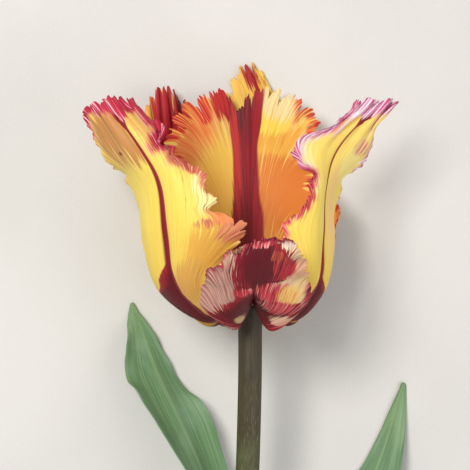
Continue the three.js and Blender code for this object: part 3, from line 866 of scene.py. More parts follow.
# %% The looks of the inner petals
LOOKS = {
    "petal_inner_left": dict(
        LOOK,
        left=[
            (0, 1), (0.29, 1), (0.36, 0.3), (0.42, 0.075), (0.6, 0.065), (0.9, 0.045), (0.95, 0.2),
            (1, 0.5),
        ],
        right=[
            (0, 1), (0.16, 1), (0.24, 0.45), (0.33, 0.2), (0.42, 0.075), (0.6, 0.065), (0.9, 0.05),
            (1, 0.3),
        ],
        rim_left=[(0, 0), (0.85, 0), (0.93, 0.2), (1, 0.4)],
        rim_right=[
            (0, 0), (0.6, 0.03), (0.68, 0.3), (0.74, 0.5), (0.82, 0.4), (0.88, 0.55), (0.95, 0.55),
            (1, 0.4),
        ],
        comb=COMB_CRIMSON,
        comb_below=(0.78, 0.82, COMB_CORAL),
        ragged=(0.35, 0.3),
        patches=[
            # painted shade: the tan of the flat part near the tip is mostly shade, partly the petal's own
            # tint
            (0.88, -0.45, 0.1, 0.5, "#C48A50"),
            (0.62, 0.98, 0.1, 0.3, "#F7EDA4"),
            (0.36, 0.98, 0.14, 0.16, "#F6E7A0"),
            # painted shade: a dark line along the crease, and a darker orange below it
            (0.53, 0.75, 0.02, 0.2, "#C9705A"),
            (0.45, 0.72, 0.08, 0.3, "#E6B04C"),
            # the orange of the two lower lobes is partly their own colour and partly painted shade
            (0.55, 0.98, 0.03, 0.25, "#F0985A"),
            (0.5, 0.97, 0.035, 0.2, "#DC8A66"),
            # painted shade: the upper flange and the lower right part are painted darker, as if turned
            # from the lamp
            (0.915, 0.45, 0.045, 0.3, "#DDB060"),
            (0.35, 0.45, 0.07, 0.3, "#DCA552"),
        ],
        marks=[
            (0.985, -0.42, 0.03, 0.24, TIP_CRIMSON),
            (0.985, 0.32, 0.03, 0.22, TIP_CRIMSON),
            (0.835, -0.54, 0.008, 0.05, "#8A4A30"),
        ],
    ),
    "petal_inner_right": dict(
        LOOK,
        left=[
            (0, 1), (0.2, 0.6), (0.3, 0.45), (0.4, 0.1), (0.5, 0.04), (0.9, 0.03), (0.95, 0.12),
            (1, 0.3),
        ],
        right=[(0, 1), (0.3, 0.5), (0.38, 0.1), (0.5, 0.04), (0.9, 0.03), (0.94, 0.3), (1, 0.5)],
        rim_left=[
            (0, 0), (0.4, 0.15), (0.6, 0.3), (0.72, 0.3), (0.78, 0.35), (0.87, 0.35), (0.92, 0.35),
            (1, 0.3),
        ],
        rim_right=[
            (0, 0), (0.4, 0.1), (0.5, 0.3), (0.62, 0.2), (0.72, 0.1), (0.8, 0.25), (0.9, 0.2),
            (1, 0.5),
        ],
        comb=COMB_LILAC,
        comb_below=(0.74, 0.78, COMB_BEADS),
        streaks=0.15,
        ragged=(0.35, 0.3),
        patches=[
            (0.6, 0.32, 0.18, 0.25, "#F8CC7C"),
            (0.75, -0.75, 0.1, 0.3, "#F3E094"),
            # painted light: the flare faces away from the lamp, so it is painted a lighter yellow
            (0.8, 0.8, 0.08, 0.5, "#FFE68A"),
        ],
        marks=[
            (0.845, 0.62, 0.03, 0.25, [(0.42, "#F6DC82"), (0.52, "#E79A92"), (0.64, "#C8506A")]),
            (0.97, -0.5, 0.03, 0.3, [(0.35, "#F8F2F4"), (0.6, "#E4C6D6")]),
            (0.57, 1, 0.07, 0.25, [(0.38, "#F5D6A8"), (0.5, "#E08C7C"), (0.62, "#B8303E")]),
        ],
    ),
    "petal_inner_back": dict(
        LOOK,
        # painted shade and light: the deep orange at the foot stands for the cup's shade and the glow
        # through it, and the middle is painted brighter where the left petal shades it
        inner=[(0, "#A9501E"), (0.55, "#EEA642"), (0.7, "#F5C656"), (0.85, "#F4CC5A"), (1, "#F2DA88")],
        left=[
            (0, 1), (0.3, 0.3), (0.6, 0.22), (0.72, 0.17), (0.85, 0.15), (0.91, 0.17),
            (0.96, 0.28), (1, 0.36),
        ],
        right=[(0, 1), (0.3, 0.3), (0.6, 0.24), (0.72, 0.17), (0.85, 0.16), (0.92, 0.22), (1, 0.25)],
        rim_left=[(0, 0), (0.6, 0.05), (0.85, 0.4), (0.95, 0.5), (1, 0.5)],
        rim_right=[(0, 0), (0.6, 0.1), (0.8, 0.35), (0.93, 0.4), (1, 0.3)],
        bare=(0.3, 0.55),
        heart=(-0.05, -0.3),
        streaks=0.85,
        streak_reach=22,
        streak_colour="#E0683A",
        calm_right=0.65,
        ragged=(0.35, 0.35),
        patches=[
            # painted shade: the orange of the right half stands for shade and the glow of light through
            # the petal
            (0.71, 0.5, 0.17, 0.5, "#DE843A"),
            # painted light: the left half is painted a brighter yellow where the left petal's shadow falls
            (0.67, -0.5, 0.13, 0.42, "#FCC85A"),
            (0.88, 0.42, 0.05, 0.42, "#EBB044"),
            (0.915, 0.33, 0.032, 0.26, "#F8DC54"),
            (0.95, -0.7, 0.13, 0.35, "#E69650"),
            (0.965, 0.4, 0.045, 0.2, "#F6E4A6"),
        ],
        marks=[(0.975, -0.27, 0.05, 0.1, "#BC302E"), (0.83, -0.11, 0.2, 0.05, "#BC302E")],
    ),
}
print(len(LOOKS), "inner petals")

# %% [markdown]
# The outer petal in front is pale rose and cream with a flame that fills its middle. The two
# behind are crimson at the foot and show little more than their tips.

# %% The looks of the outer petals
LOOKS |= {
    "petal_outer_front": dict(
        LOOK,
        outer=[(0, "#8E2A3C"), (0.3, "#E4AE88"), (0.6, "#EFCDA2"), (1, "#F4DCB0")],
        left=[
            (0, 1), (0.31, 1), (0.37, 0.62), (0.42, 0.34), (0.5, 0.38), (0.62, 0.5), (0.78, 0.64),
            (0.95, 0.9), (1, 1),
        ],
        right=[
            (0, 1), (0.3, 1), (0.36, 0.9), (0.4, 0.3), (0.5, 0.26), (0.56, 0.55), (0.64, 0.78),
            (0.82, 0.76), (0.9, 0.62), (1, 0.5),
        ],
        rim_left=[(0, 0), (0.3, 0.03), (0.5, 0.06), (0.6, 0.2), (0.75, 0.2), (0.95, 0.2), (1, 0.3)],
        rim_right=[
            (0, 0.1), (0.28, 0.2), (0.34, 0.4), (0.42, 0.4), (0.5, 0.05), (0.8, 0), (0.93, 0.2),
            (1, 0.3),
        ],
        comb=COMB_MAROON,
        streaks=0.5,
        streak_reach=8,
        streak_colour="#8E3A44",
        ragged=(0.9, 1.1),
        hair=1.1,
        heart=(-0.1, -0.38),
        patches=[
            # the mauve of the left field is partly its own colour and partly painted shade
            (0.5, -0.8, 0.3, 0.75, MAUVE_AND_SHADE_STREAKS),
            (0.47, 0.95, 0.2, 0.25, "#E6C68A"),
            (0.62, 0.88, 0.08, 0.16, "#EBB68E"),
        ],
        marks=[
            (0.45, 0.34, 0.08, 0.3, RED_STREAKS),
            (0.42, 0.6, 0.06, 0.2, [(0.38, "#EFC45E"), (0.5, "#E8C070"), (0.62, "#D9705A")]),
            (0.68, 0.56, 0.12, 0.2, [(0.35, "#C4403C"), (0.5, "#B02A38"), (0.65, "#8E2030")]),
            (0.8, 0.5, 0.06, 0.16, [(0.35, "#C0603C"), (0.5, "#B04036"), (0.65, "#8E2830")]),
            (0.455, -0.18, 0.03, 0.2, RED_STREAKS),
            (0.34, 0.45, 0.05, 0.3, RED_STREAKS),
            (0.96, 0.1, 0.05, 0.5, [(0.36, "#F6D4C0"), (0.46, "#E4626C"), (0.58, "#BC3044")]),
            (0.94, -0.85, 0.05, 0.3, [(0.4, "#F0CE96"), (0.6, "#E2A078")]),
            (0.91, 0.86, 0.05, 0.2, [(0.35, "#F6E8DA"), (0.6, "#EBC8B4")]),
            (0.22, -0.45, 0.035, 0.13, "#C9A680"),
            (0.255, 0.68, 0.03, 0.25, "#E0B89A"),
            # painted shade: a thin dark line along the crease
            (0.545, 0.34, 0.007, 0.2, "#6A1E2A"),
        ],
    ),
    "petal_outer_back_left": dict(
        LOOK,
        left=[(0, 1), (0.3, 0.35), (0.6, 0.2), (0.85, 0.3), (0.95, 0.5), (1, 0.5)],
        right=[(0, 1), (0.3, 0.35), (0.6, 0.2), (0.85, 0.4), (0.95, 0.9), (1, 1)],
        rim_left=[(0, 0), (0.6, 0.1), (0.9, 0.1), (1, 0.1)],
        rim_right=[(0, 0), (0.6, 0.2), (0.9, 0.1), (1, 0.1)],
        streaks=0.6,
        marks=[(0.95, -0.1, 0.13, 0.55, [(0.35, "#B82A32"), (0.65, "#A0222C")])],
    ),
    "petal_outer_back_right": dict(
        LOOK,
        inner=[(0, "#C98A3C"), (0.6, "#EBB44C"), (1, "#F9D060")],
        left=[(0, 1), (0.3, 0.35), (0.6, 0.2), (0.85, 0.1), (1, 0.05)],
        right=[(0, 1), (0.3, 1), (0.45, 1), (0.56, 0.7), (0.66, 0.3), (0.8, 0.1), (1, 0.05)],
        rim_left=[(0, 0), (0.6, 0.1), (0.9, 0.1), (1, 0.05)],
        rim_right=[(0, 0), (0.45, 0.3), (0.66, 0.4), (0.9, 0.1), (1, 0.05)],
        streaks=0.4,
        marks=[(0.975, -0.05, 0.03, 0.3, "#A82830")],
    ),
}

print(len(LOOKS), "petals in all")

# %% [markdown]
# Everything in the paint depends on where a point is: how far up the petal and across it, how far
# from the edge, on which face, and in which fibre. Two noises give the fibres. Both read the place
# along the rim, which is the same all along a vein, so they are stretched along the veins.

# %% Places on a petal
def petal_places(bench, seed, look):
    """The strands that all the paint is worked out from."""
    across, u, _ = bench.split(bench.node("ShaderNodeUVMap", {"uv_map": "blade"}))
    v = across * 2 - 1
    rim = bench.fact("rim")
    return SimpleNamespace(
        look=look, seed=seed, u=u, v=v, rim=rim, off_middle=bench.maths("ABSOLUTE", v),
        edge=bench.fact("edge"), tongue=bench.fact("tongue"), inner=bench.fact("inner"),
        right_half=bench.step(-0.02, 0.02, v),
        fibres=bench.noise(bench.join(rim * 0.3, u * 2.2, seed), detail=3),
        hairs=bench.noise(bench.join(rim * look["hair"], u * 5, seed + 3), detail=2),
    )


def both_halves(bench, at, left, right):
    """A curve of the look over u, another one on each half of the petal."""
    left_half = bench.profile(at.u, at.look[left])
    return left_half + (bench.profile(at.u, at.look[right]) - left_half) * at.right_half


# %% [markdown]
# The ground is laid first: the pigments of both faces, light and dark hairs, the petal's patches,
# and last the red streaks that run in from the rim.

# %% The ground of a petal
def daub(bench, at, under, patches):
    """Soft patches with fibrous edges, each at (u, v), so long and so wide."""
    for at_u, at_v, long, wide, shade in patches:
        apart = ((at.u - at_u) / long) ** 2 + ((at.v - at_v) / wide) ** 2
        mask = bench.step(1.3, 0.6, apart + (at.fibres - 0.5) * 2.2 + (at.hairs - 0.5) * 4)
        shade = bench.colours(at.hairs, shade) if isinstance(shade, list) else shade
        under = bench.tint(mask, under, shade)
    return under


def ground_paint(bench, at):
    look = at.look
    warmth = at.u + (at.fibres - 0.5) * 0.5
    outer, inner = (bench.colours(warmth, look[face]) for face in ("outer", "inner"))
    ground = bench.tint(at.inner, outer, inner)
    ground = bench.tint(bench.step(0.5, 0.75, at.hairs) * 0.18, ground, "#FFF3B0")
    ground = bench.tint(bench.step(0.5, 0.25, at.hairs) * 0.18, ground, "#C9741F")
    ground = daub(bench, at, ground, look["patches"])
    reach = look["streak_reach"]
    zone = bench.step(reach, 1, at.edge + (at.fibres - 0.5) * reach)
    streak = bench.step(0.6 - 0.2 * zone, 0.64, at.hairs) * zone * look["streaks"]
    return bench.tint(streak * (1 - at.right_half * look["calm_right"]), ground, look["streak_colour"])


# %% [markdown]
# The flame is everything nearer to the midrib than its width there. The fibres and the hairs push
# that width in and out, so its edge breaks up along the veins as ink does on cloth. Further in it
# turns darker, and the petal's marks go over it.

# %% The flame
def flame_paint(bench, at, ground):
    width = both_halves(bench, at, "left", "right")
    slow, quick = at.look["ragged"]
    frayed = width * (1 + (at.fibres - 0.5) * slow + (at.hairs - 0.5) * quick)
    distance = at.off_middle - frayed
    flame = bench.step(0.02, -0.02, distance)
    heart = bench.step(*at.look["heart"], distance + (at.fibres - 0.5) * 0.2)
    crimson = bench.colours(at.fibres, [(0.3, "#7E1626"), (0.7, "#A8242E")])
    painted = bench.tint(flame, ground, bench.tint(heart, crimson, "#64141F"))
    return daub(bench, at, painted, at.look["marks"])


# %% [markdown]
# The rim's stripes run square to the edge. A noise that changes fast along the rim and slowly away
# from it draws them, and the tongues of the fringe add their share, so a stripe and a tongue fall
# together. The same stripes shift the inner border of the rim, which makes it feathery.

# %% The striped rim
def rim_paint(bench, at, under):
    look = at.look
    rim_width = both_halves(bench, at, "rim_left", "rim_right") * 10
    stripe = bench.noise(bench.join(at.rim * 0.7, at.edge * 0.12, at.seed + 9), detail=1)
    comb = stripe * 0.75 + at.tongue * 0.2
    ragged = at.edge + (comb - 0.5) * 5
    zone = bench.step(0.0, 1.0, (rim_width - ragged) / 2)
    bare_left, bare_right = look["bare"]
    bare = bare_left + (bare_right - bare_left) * at.right_half
    zone = zone * bench.step(0, 0.12, at.off_middle - bare + (at.fibres - 0.5) * 0.1)
    stripes = bench.colours(comb, look["comb"])
    if look["comb_below"]:
        low, high, below = look["comb_below"]
        stripes = bench.tint(bench.step(high, low, at.u), stripes, bench.colours(comb, below))
    return bench.tint(zone, under, stripes)


# %% [markdown]
# A petal lets some light through, so its shader scatters a little under the skin. It isn't shiny:
# its gloss is that of satin, with fine ridges along the fibres.

# %% Paint the petals
def petal_finish(name, seed, look):
    material, bench, shader = new_finish(
        name, Subsurface_Weight=0.2, Subsurface_Radius=(1, 0.5, 0.2), Subsurface_Scale=0.0015,
        Specular_IOR_Level=0.25,
    )
    at = petal_places(bench, seed, look)
    painted = flame_paint(bench, at, ground_paint(bench, at))
    painted = rim_paint(bench, at, painted)
    relief = bench.bump(at.fibres * 0.5 + at.hairs * 0.5, 0.35, 0.5)
    lay_on(bench, shader, Base_Color=painted, Roughness=0.42 + at.hairs * 0.25, Normal=relief)
    print(name, "is painted with", len(material.node_tree.nodes), "nodes")
    return material


for node, look in LOOKS.items():
    finish = petal_finish(node.replace("petal_", "") + "_paint", PETALS[node]["seed"] * 7.3, look)
    pieces[node].data.materials.append(finish)

# %% [markdown]
# ## The stem
#
# A tulip's stem is a smooth round rod. It bends a little, swells under the bloom and where a leaf
# clasps it, and is cut square at its foot. A rod along a path is what Geometry Nodes do well: a
# line is laid through the stem's places, resampled to even steps, and a circle is swept along it
# with a radius worked out from how far along it is.
#
# The line comes first. It is a smooth curve through a few places, turned into a run of edges.

# %% Smooth lines
def smooth_line(places, steps=16):
    """Points of a centripetal Catmull-Rom curve through the places."""
    knots = np.array(places, float)
    knots = np.concatenate([[2 * knots[0] - knots[1]], knots, [2 * knots[-1] - knots[-2]]])
    f = np.linspace(0, 1, steps, endpoint=False)[:, None]
    line = []
    for before, start, end, after in zip(knots, knots[1:], knots[2:], knots[3:]):
        stretches = (start - before, end - start, after - end)
        d0, d1, d2 = (np.linalg.norm(stretch) ** 0.5 for stretch in stretches)
        leave = d1 * ((start - before) / d0 - (end - before) / (d0 + d1) + (end - start) / d1)
        reach = d1 * ((end - start) / d1 - (after - start) / (d1 + d2) + (after - end) / d2)
        bend = 3 * (end - start) - 2 * leave - reach
        line.extend(start + leave * f + bend * f**2 + (2 * (start - end) + leave + reach) * f**3)
    return np.array([*line, knots[-2]])


def line_object(name, lines):
    """A mesh of bare edges, one run of them for each line, as the start of a tree."""
    mesh = bpy.data.meshes.new(name)
    edges = []
    for line in lines:
        first = edges[-1][1] + 1 if edges else 0
        edges += [(first + k, first + k + 1) for k in range(len(line) - 1)]
    mesh.from_pydata(((np.concatenate(lines) + SHIFT) * MM).tolist(), edges, [])
    return add_object(name, mesh)


# %% [markdown]
# A tree of Geometry Nodes is built on the same bench as a finish. Its inputs are the geometry, the
# sizes under plain names, and the finish. It ends by making every copy real, because an export
# drops what is only an instance. To grow a piece, the sizes are set by their sockets' identifiers,
# the object is evaluated once, and what comes out is kept as a plain mesh.

# %% Trees that grow a piece
def new_tree(name, inputs):
    """An empty tree with named inputs, the bench to build it on, and a strand for each input."""
    tree = bpy.data.node_groups.new(name, "GeometryNodeTree")
    tree.interface.new_socket("Geometry", in_out="OUTPUT", socket_type="NodeSocketGeometry")
    for label, kind in {"Geometry": "Geometry", **inputs, "Finish": "Material"}.items():
        tree.interface.new_socket(label, in_out="INPUT", socket_type="NodeSocket" + kind)
    bench = Bench(tree)
    source = bench.node("NodeGroupInput").socket.node
    return tree, bench, {socket.name: Strand(bench, socket) for socket in source.outputs if socket.name}


def close_tree(bench, geometry, finish):
    """Every tree ends with real geometry, smooth, with its finish on it."""
    geometry = bench.node("GeometryNodeRealizeInstances", sockets={"Geometry": geometry})
    geometry = bench.node("GeometryNodeSetShadeSmooth", sockets={"Geometry": geometry})
    geometry = bench.node("GeometryNodeSetMaterial", sockets={"Geometry": geometry, "Material": finish})
    exit_node = bench.tree.nodes.new("NodeGroupOutput")
    bench.tree.links.new(geometry.socket, exit_node.inputs[0])


def grow(name, start, tree, **values):
    """Run a tree on a starting object, and keep what it grows as a plain mesh."""
    modifier = start.modifiers.new(name, "NODES")
    modifier.node_group = tree
    for socket in tree.interface.items_tree:
        if socket.in_out == "INPUT" and socket.name in values:
            modifier[socket.identifier] = values[socket.name]
    graph = bpy.context.evaluated_depsgraph_get()
    mesh = bpy.data.meshes.new_from_object(start.evaluated_get(graph))
    bpy.data.objects.remove(start)
    mesh.name = name
    solid = bmesh.new()
    solid.from_mesh(mesh)
    volume = solid.calc_volume(signed=True) / MM**3
    solid.free()
    print(name, "has", triangles(mesh), "triangles and", round(volume), "cubic mm")
    return add_object(name, mesh)


# %% [markdown]
# The rod is one such tree. The edges become a curve with even steps, and every point keeps how far
# along the line it is, which the paint needs later. Then a circle is swept along the curve.

# %% Rods that follow a line
def rod_tree(name, sizes, sides, radius_of):
    """A tree that sweeps a circle along each line, with its radius given as a sum over the way."""
    tree, bench, given = new_tree(name, {"Steps": "Int", **{size: "Float" for size in sizes}})
    line = bench.node("GeometryNodeMeshToCurve", sockets={"Mesh": given["Geometry"]})
    line = bench.node("GeometryNodeResampleCurve", sockets={"Curve": line, "Count": given["Steps"]})
    way = bench.node("GeometryNodeSplineParameter")
    line = bench.node(
        "GeometryNodeStoreNamedAttribute", {"data_type": "FLOAT", "domain": "POINT"},
        {"Geometry": line, "Name": "way", "Value": way},
    )
    circle = bench.node("GeometryNodeCurvePrimitiveCircle", sockets={"Resolution": sides, "Radius": 1.0})
    radius = radius_of(bench, given, way)
    sockets = {"Curve": line, "Profile Curve": circle, "Scale": radius, "Fill Caps": True}
    close_tree(bench, bench.node("GeometryNodeCurveToMesh", sockets=sockets), given["Finish"])
    return tree


# %% [markdown]
# The stem leaves the bloom level and comes to lie on the table near its cut end. Its radius is
# one sum over the way along it: an even growth, a flare that dies away fast under the bloom, and a
# bell curve for the collar of each leaf.

# %% The stem's line and radius
TOP_RADIUS = 4.5
CUT_RADIUS = 4.7
LYING_HEIGHT = TABLE_HEIGHT + CUT_RADIUS
STEM_LINE = [
    (0, -4, 0), (0, -30, -0.5), (-1, -70, -6), (-3, -115, -17),
    (-5, -160, -28), (-6, -200, -35), (-7, -235, LYING_HEIGHT), (-8, -258, LYING_HEIGHT),
]
LEAF_NODES = (0.4, 0.72)


def stem_radius(bench, given, way):
    """Even growth towards the cut, a flare under the bloom and a low collar where each leaf clasps."""
    radius = given["Top radius"] + (given["Cut radius"] - given["Top radius"]) * way
    radius = radius + bench.maths("EXPONENT", way * -60) * given["Flare"]
    for place in LEAF_NODES:
        apart = (way - place) / 0.006
        radius = radius + bench.maths("EXPONENT", apart * apart * -1) * given["Collar"]
    return radius


print("the stem is", round(float(line_length(smooth_line(STEM_LINE)))), "mm long")

# %% [markdown]
# The stem's green is dark and brownish under the bloom, partly its own tint and partly painted shade of
# the bloom above it, and fresher and lighter further down, with fine lines along its fibres. The rod runs
# along Y, so a noise that is stretched along Y in Object coordinates gives those lines without any map.
# The cut end faces away along Y: there the finish shows the pale pith with its ring of darker fibre
# bundles.

# %% Grow the stem
# painted shade: the darkest browns at the top stand partly for the bloom's shade
STEM_GREEN_AND_SHADE = [(0, "#3A2D20"), (0.16, "#433824"), (0.34, "#58603A"), (1, "#71864E")]
PITH_GREEN = [(0, "#DDE3B4"), (0.5, "#C6D296"), (0.8, "#93AA62"), (1, "#5E7740")]


def stem_finish():
    material, bench, shader = new_finish("stem_skin", Specular_IOR_Level=0.4)
    place = bench.node("ShaderNodeTexCoord", out=3)
    x, y, z = bench.split(place)
    lines = bench.noise(bench.join(x * 2600, y * 45, z * 2600), detail=3)
    clouds = bench.noise(place, scale=70, detail=3)
    way = bench.fact("way")
    skin = bench.colours(way + (clouds - 0.5) * 0.25, STEM_GREEN_AND_SHADE)
    # the light fibre lines grow stronger away from the bloom's painted shade
    fresh_and_lit = bench.step(0.05, 0.4, way)
    skin = bench.tint(bench.step(0.5, 0.7, lines) * (0.1 + 0.35 * fresh_and_lit), skin, "#8C9C63")
    skin = bench.tint(bench.step(0.48, 0.3, lines) * (0.3 + 0.1 * fresh_and_lit), skin, "#38402A")
    middle = (np.array(STEM_LINE[-1]) + SHIFT) * MM
    from_middle = ((x - middle[0]) ** 2 + (z - middle[2]) ** 2) ** 0.5 / MM
    pith = bench.colours(from_middle / 5, PITH_GREEN)
    bundles = bench.node("ShaderNodeTexVoronoi", {"feature": "F1"}, {"Vector": place, "Scale": 1100.0})
    ring = bench.step(1.2, 2.2, from_middle) * bench.step(4.4, 3.6, from_middle)
    pith = bench.tint(bench.step(0.32, 0.2, bundles) * ring * 0.6, pith, "#7C9150")
    cut = bench.step(middle[1] + 0.4 * MM, middle[1] + 0.15 * MM, y)
    painted = bench.tint(cut, skin, pith)
    relief = bench.bump(lines, 0.25, 0.3)
    lay_on(bench, shader, Base_Color=painted, Roughness=0.4 + clouds * 0.25, Normal=relief)
    return material


stem_sizes = {"Top radius": TOP_RADIUS, "Cut radius": CUT_RADIUS, "Flare": 0.5, "Collar": 0.45}
stem_tree = rod_tree("stem_grower", stem_sizes, 48, stem_radius)
pieces["stem"] = grow(
    "stem_rod", line_object("stem_line", [smooth_line(STEM_LINE)]), stem_tree,
    Steps=420, Finish=stem_finish(), **{size: value * MM for size, value in stem_sizes.items()},
)

# %% [markdown]
# ## The heart of the flower
#
# Deep in the cup stands the pistil, a three-sided green ovary under a creamy stigma with three
# lobes, with six dark stamens round it. A stamen is a thin filament that swells into a long anther,
# so it is the same rod as the stem with another radius. The seat that all of them grow from and
# the pistil are turned on the flower's axis, as on a lathe. The Spin tool could do that for the
# seat, but not for three lobes, so both are laid out from a grid of radii.

# %% A lathe
ANGLES = np.arange(60) * 2 * math.pi / 60


def turned(name, heights, radii, finish):
    """A closed body round the flower's axis, from a grid of radii over its heights and angles."""
    across, up = -radii * np.cos(ANGLES), radii * np.sin(ANGLES)
    rings = np.stack([across, np.broadcast_to(heights[:, None], radii.shape), up], -1)
    poles = [[[0, heights[0], 0]], [[0, heights[-1], 0]]]
    vertices = (np.concatenate([rings.reshape(-1, 3), *poles]) + SHIFT) * MM
    index = np.arange(radii.size).reshape(radii.shape)
    after = np.roll(index, -1, axis=1)
    quads = np.stack([index[:-1], after[:-1], after[1:], index[1:]], -1).reshape(-1, 4).tolist()
    foot, head = radii.size, radii.size + 1
    caps = [[foot, *pair] for pair in np.stack([after[0], index[0]], -1).tolist()]
    caps += [[head, *pair] for pair in np.stack([index[-1], after[-1]], -1).tolist()]
    mesh = bpy.data.meshes.new(name)
    mesh.from_pydata(vertices.tolist(), [], quads + caps)
    mesh.polygons.foreach_set("use_smooth", [True] * len(mesh.polygons))
    solid = bmesh.new()
    solid.from_mesh(mesh)
    bmesh.ops.recalc_face_normals(solid, faces=solid.faces)
    solid.to_mesh(mesh)
    solid.free()
    mesh.materials.append(finish)
    print(name, "reaches from", heights[0], "to", heights[-1], "mm along the flower's axis")
    return add_object(name, mesh)


# %% [markdown]
# The pieces of the heart share one finish. Their colour changes with the height over the stem's
# top, which Object coordinates give, and a fine speckle keeps it from looking like plastic.

# %% Turn the seat and the pistil
HEART_REACH = 20


def heart_finish(name, stops, grain, light):
    """A matte skin whose colour changes with the height over the stem's top."""
    material, bench, shader = new_finish(name, Specular_IOR_Level=0.35)
    place = bench.node("ShaderNodeTexCoord", out=3)
    _, y, _ = bench.split(place)
    height = (y / MM - SHIFT[1]) / HEART_REACH
    speckle = bench.noise(place, scale=grain, detail=3)
    skin = bench.colours(height + (speckle - 0.5) * 0.12, stops)
    skin = bench.tint(bench.step(0.55, 0.7, speckle) * 0.4, skin, light)
    relief = bench.bump(speckle, 0.4, 0.2)
    lay_on(bench, shader, Base_Color=skin, Roughness=0.45 + speckle * 0.3, Normal=relief)
    return material


RECEPTACLE = [(-3.6, 5.2), (-2.8, 6.3), (-1.5, 6.5), (0, 5.8), (1.2, 5.1), (2.2, 4.6), (3.0, 4.0)]
seat_heights = np.linspace(RECEPTACLE[0][0], RECEPTACLE[-1][0], 41)
seat_radii = np.interp(seat_heights, *zip(*RECEPTACLE))[:, None] * np.ones_like(ANGLES)
seat_skin = heart_finish("seat_skin", [(0, "#5F6B3C"), (0.2, "#A9AE6B"), (1, "#C9CC8C")], 900.0, "#D6D9A2")
seat_piece = turned("petal_seat", seat_heights, seat_radii, seat_skin)

PISTIL_SEAT = 3.3
PISTIL_LENGTH = 16
OVARY_RADIUS = 3.1
PISTIL_GREEN = [(0, "#8FA052"), (0.75, "#B9C27A"), (0.85, "#E4DDA6"), (1, "#F0E8BC")]
t = np.linspace(0, 1, 81)[:, None]
body = OVARY_RADIUS * (0.72 + 0.28 * np.sin(math.pi * np.minimum(t * 1.1, 1)))
lobes = 2 * ease(0.8, 0.93, t) * (0.5 + 0.5 * np.cos(3 * ANGLES)) ** 2
pistil_radii = (body * (1 + 0.08 * np.cos(3 * ANGLES)) + lobes) * (1 - 0.45 * ease(0.93, 1, t))
pistil_skin = heart_finish("pistil_skin", PISTIL_GREEN, 700.0, "#F2EDC8")
pieces["pistil"] = turned(
    "pistil_body", PISTIL_SEAT + PISTIL_LENGTH * t[:, 0], pistil_radii, pistil_skin,
)

# %% [markdown]
# The six stamens stand in a ring round the pistil. They could be copies of one, but in a real
# flower no two lean alike, so each has its own line. One tree grows all six at once.

# %% Grow the stamens
STAMEN_COUNT = 6
STAMEN_ROOT = 4.0
STAMEN_LENGTH = 17
FILAMENT_RADIUS = 0.75
ANTHER_RADIUS = 1.55
ANTHER_START = 0.48


def stamen_line(angle):
    """A stamen leans out from its root, each a little differently."""
    lean = STAMEN_ROOT + 1.2 + 0.5 * math.sin(3 * angle)
    tip_lean = STAMEN_ROOT + 2.2 + 0.6 * math.cos(2 * angle)
    heights = (1, 0.5 * STAMEN_LENGTH, STAMEN_LENGTH + 0.8 * math.sin(5 * angle))
    radii = (STAMEN_ROOT, lean, tip_lean)
    return smooth_line([(r * math.sin(angle), y, r * math.cos(angle)) for r, y in zip(radii, heights)])


def stamen_radius(bench, given, way):
    """A thin filament up to the anther, and the anther's long swelling after it."""
    share = bench.maths("MAXIMUM", (way - ANTHER_START) / (1 - ANTHER_START), 0.0)
    swelling = bench.maths("SINE", (share * 0.93 + 0.02) * math.pi) ** 0.5
    anther = bench.maths("MAXIMUM", given["Filament radius"] * 0.7, given["Anther radius"] * swelling)
    is_anther = bench.maths("GREATER_THAN", way, ANTHER_START)
    return given["Filament radius"] + (anther - given["Filament radius"]) * is_anther


stamen_sizes = {"Filament radius": FILAMENT_RADIUS * MM, "Anther radius": ANTHER_RADIUS * MM}
stamen_tree = rod_tree("stamen_grower", stamen_sizes, 20, stamen_radius)
stamen_lines = [stamen_line(2 * math.pi * (k + 0.5) / STAMEN_COUNT) for k in range(STAMEN_COUNT)]
STAMEN_DARK = [(0, "#3B2A2A"), (0.4, "#2E1826"), (1, "#25121F")]
stamen_skin = heart_finish("stamen_skin", STAMEN_DARK, 1500.0, "#5A3A52")
pieces["receptacle_stamens"] = grow(
    "stamen_rods", line_object("stamen_lines", stamen_lines), stamen_tree,
    Steps=60, Finish=stamen_skin, **stamen_sizes,
)

# %% [markdown]
# Ripe anthers are dusted with pollen. The dust is far too fine to lay grain by grain, so a second
# tree scatters points over the anthers and puts a tiny ball on each. A ball has only twenty faces,
# because there are many hundreds of them.

# %% Scatter the pollen
GRAIN_RADIUS = 0.12
GRAINS_A_SQUARE_METRE = 1.6e6


def pollen_tree():
    inputs = {"Grains": "Float", "Grain radius": "Float", "Seed": "Int"}
    tree, bench, given = new_tree("pollen_scatter", inputs)
    way = bench.node("GeometryNodeInputNamedAttribute", {"data_type": "FLOAT"}, {"Name": "way"})
    on_anther = bench.maths("GREATER_THAN", way, ANTHER_START + 0.04)
    sockets = {"Mesh": given["Geometry"], "Density": given["Grains"] * on_anther, "Seed": given["Seed"]}
    points = bench.node("GeometryNodeDistributePointsOnFaces", sockets=sockets)
    sockets = {"Radius": given["Grain radius"], "Subdivisions": 1}
    grain = bench.node("GeometryNodeMeshIcoSphere", sockets=sockets)
    sockets = {"Min_001": 0.5, "Max_001": 1.2, "Seed": 3}
    size = bench.node("FunctionNodeRandomValue", {"data_type": "FLOAT"}, sockets, out=1)
    sockets = {"Points": points, "Instance": grain, "Scale": size}
    grains = bench.node("GeometryNodeInstanceOnPoints", sockets=sockets)
    close_tree(bench, grains, given["Finish"])
    return tree


dust_start = add_object("dust", pieces["receptacle_stamens"].data.copy())
pollen_skin = heart_finish("pollen_skin", [(0, "#6E5A3C"), (1, "#8A7340")], 2000.0, "#B79A56")
pollen = grow(
    "pollen", dust_start, pollen_tree(),
    Grains=GRAINS_A_SQUARE_METRE, Seed=5, Finish=pollen_skin, **{"Grain radius": GRAIN_RADIUS * MM},
)
for extra in (seat_piece, pollen):
    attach(extra, "root")
    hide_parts("receptacle_stamens")

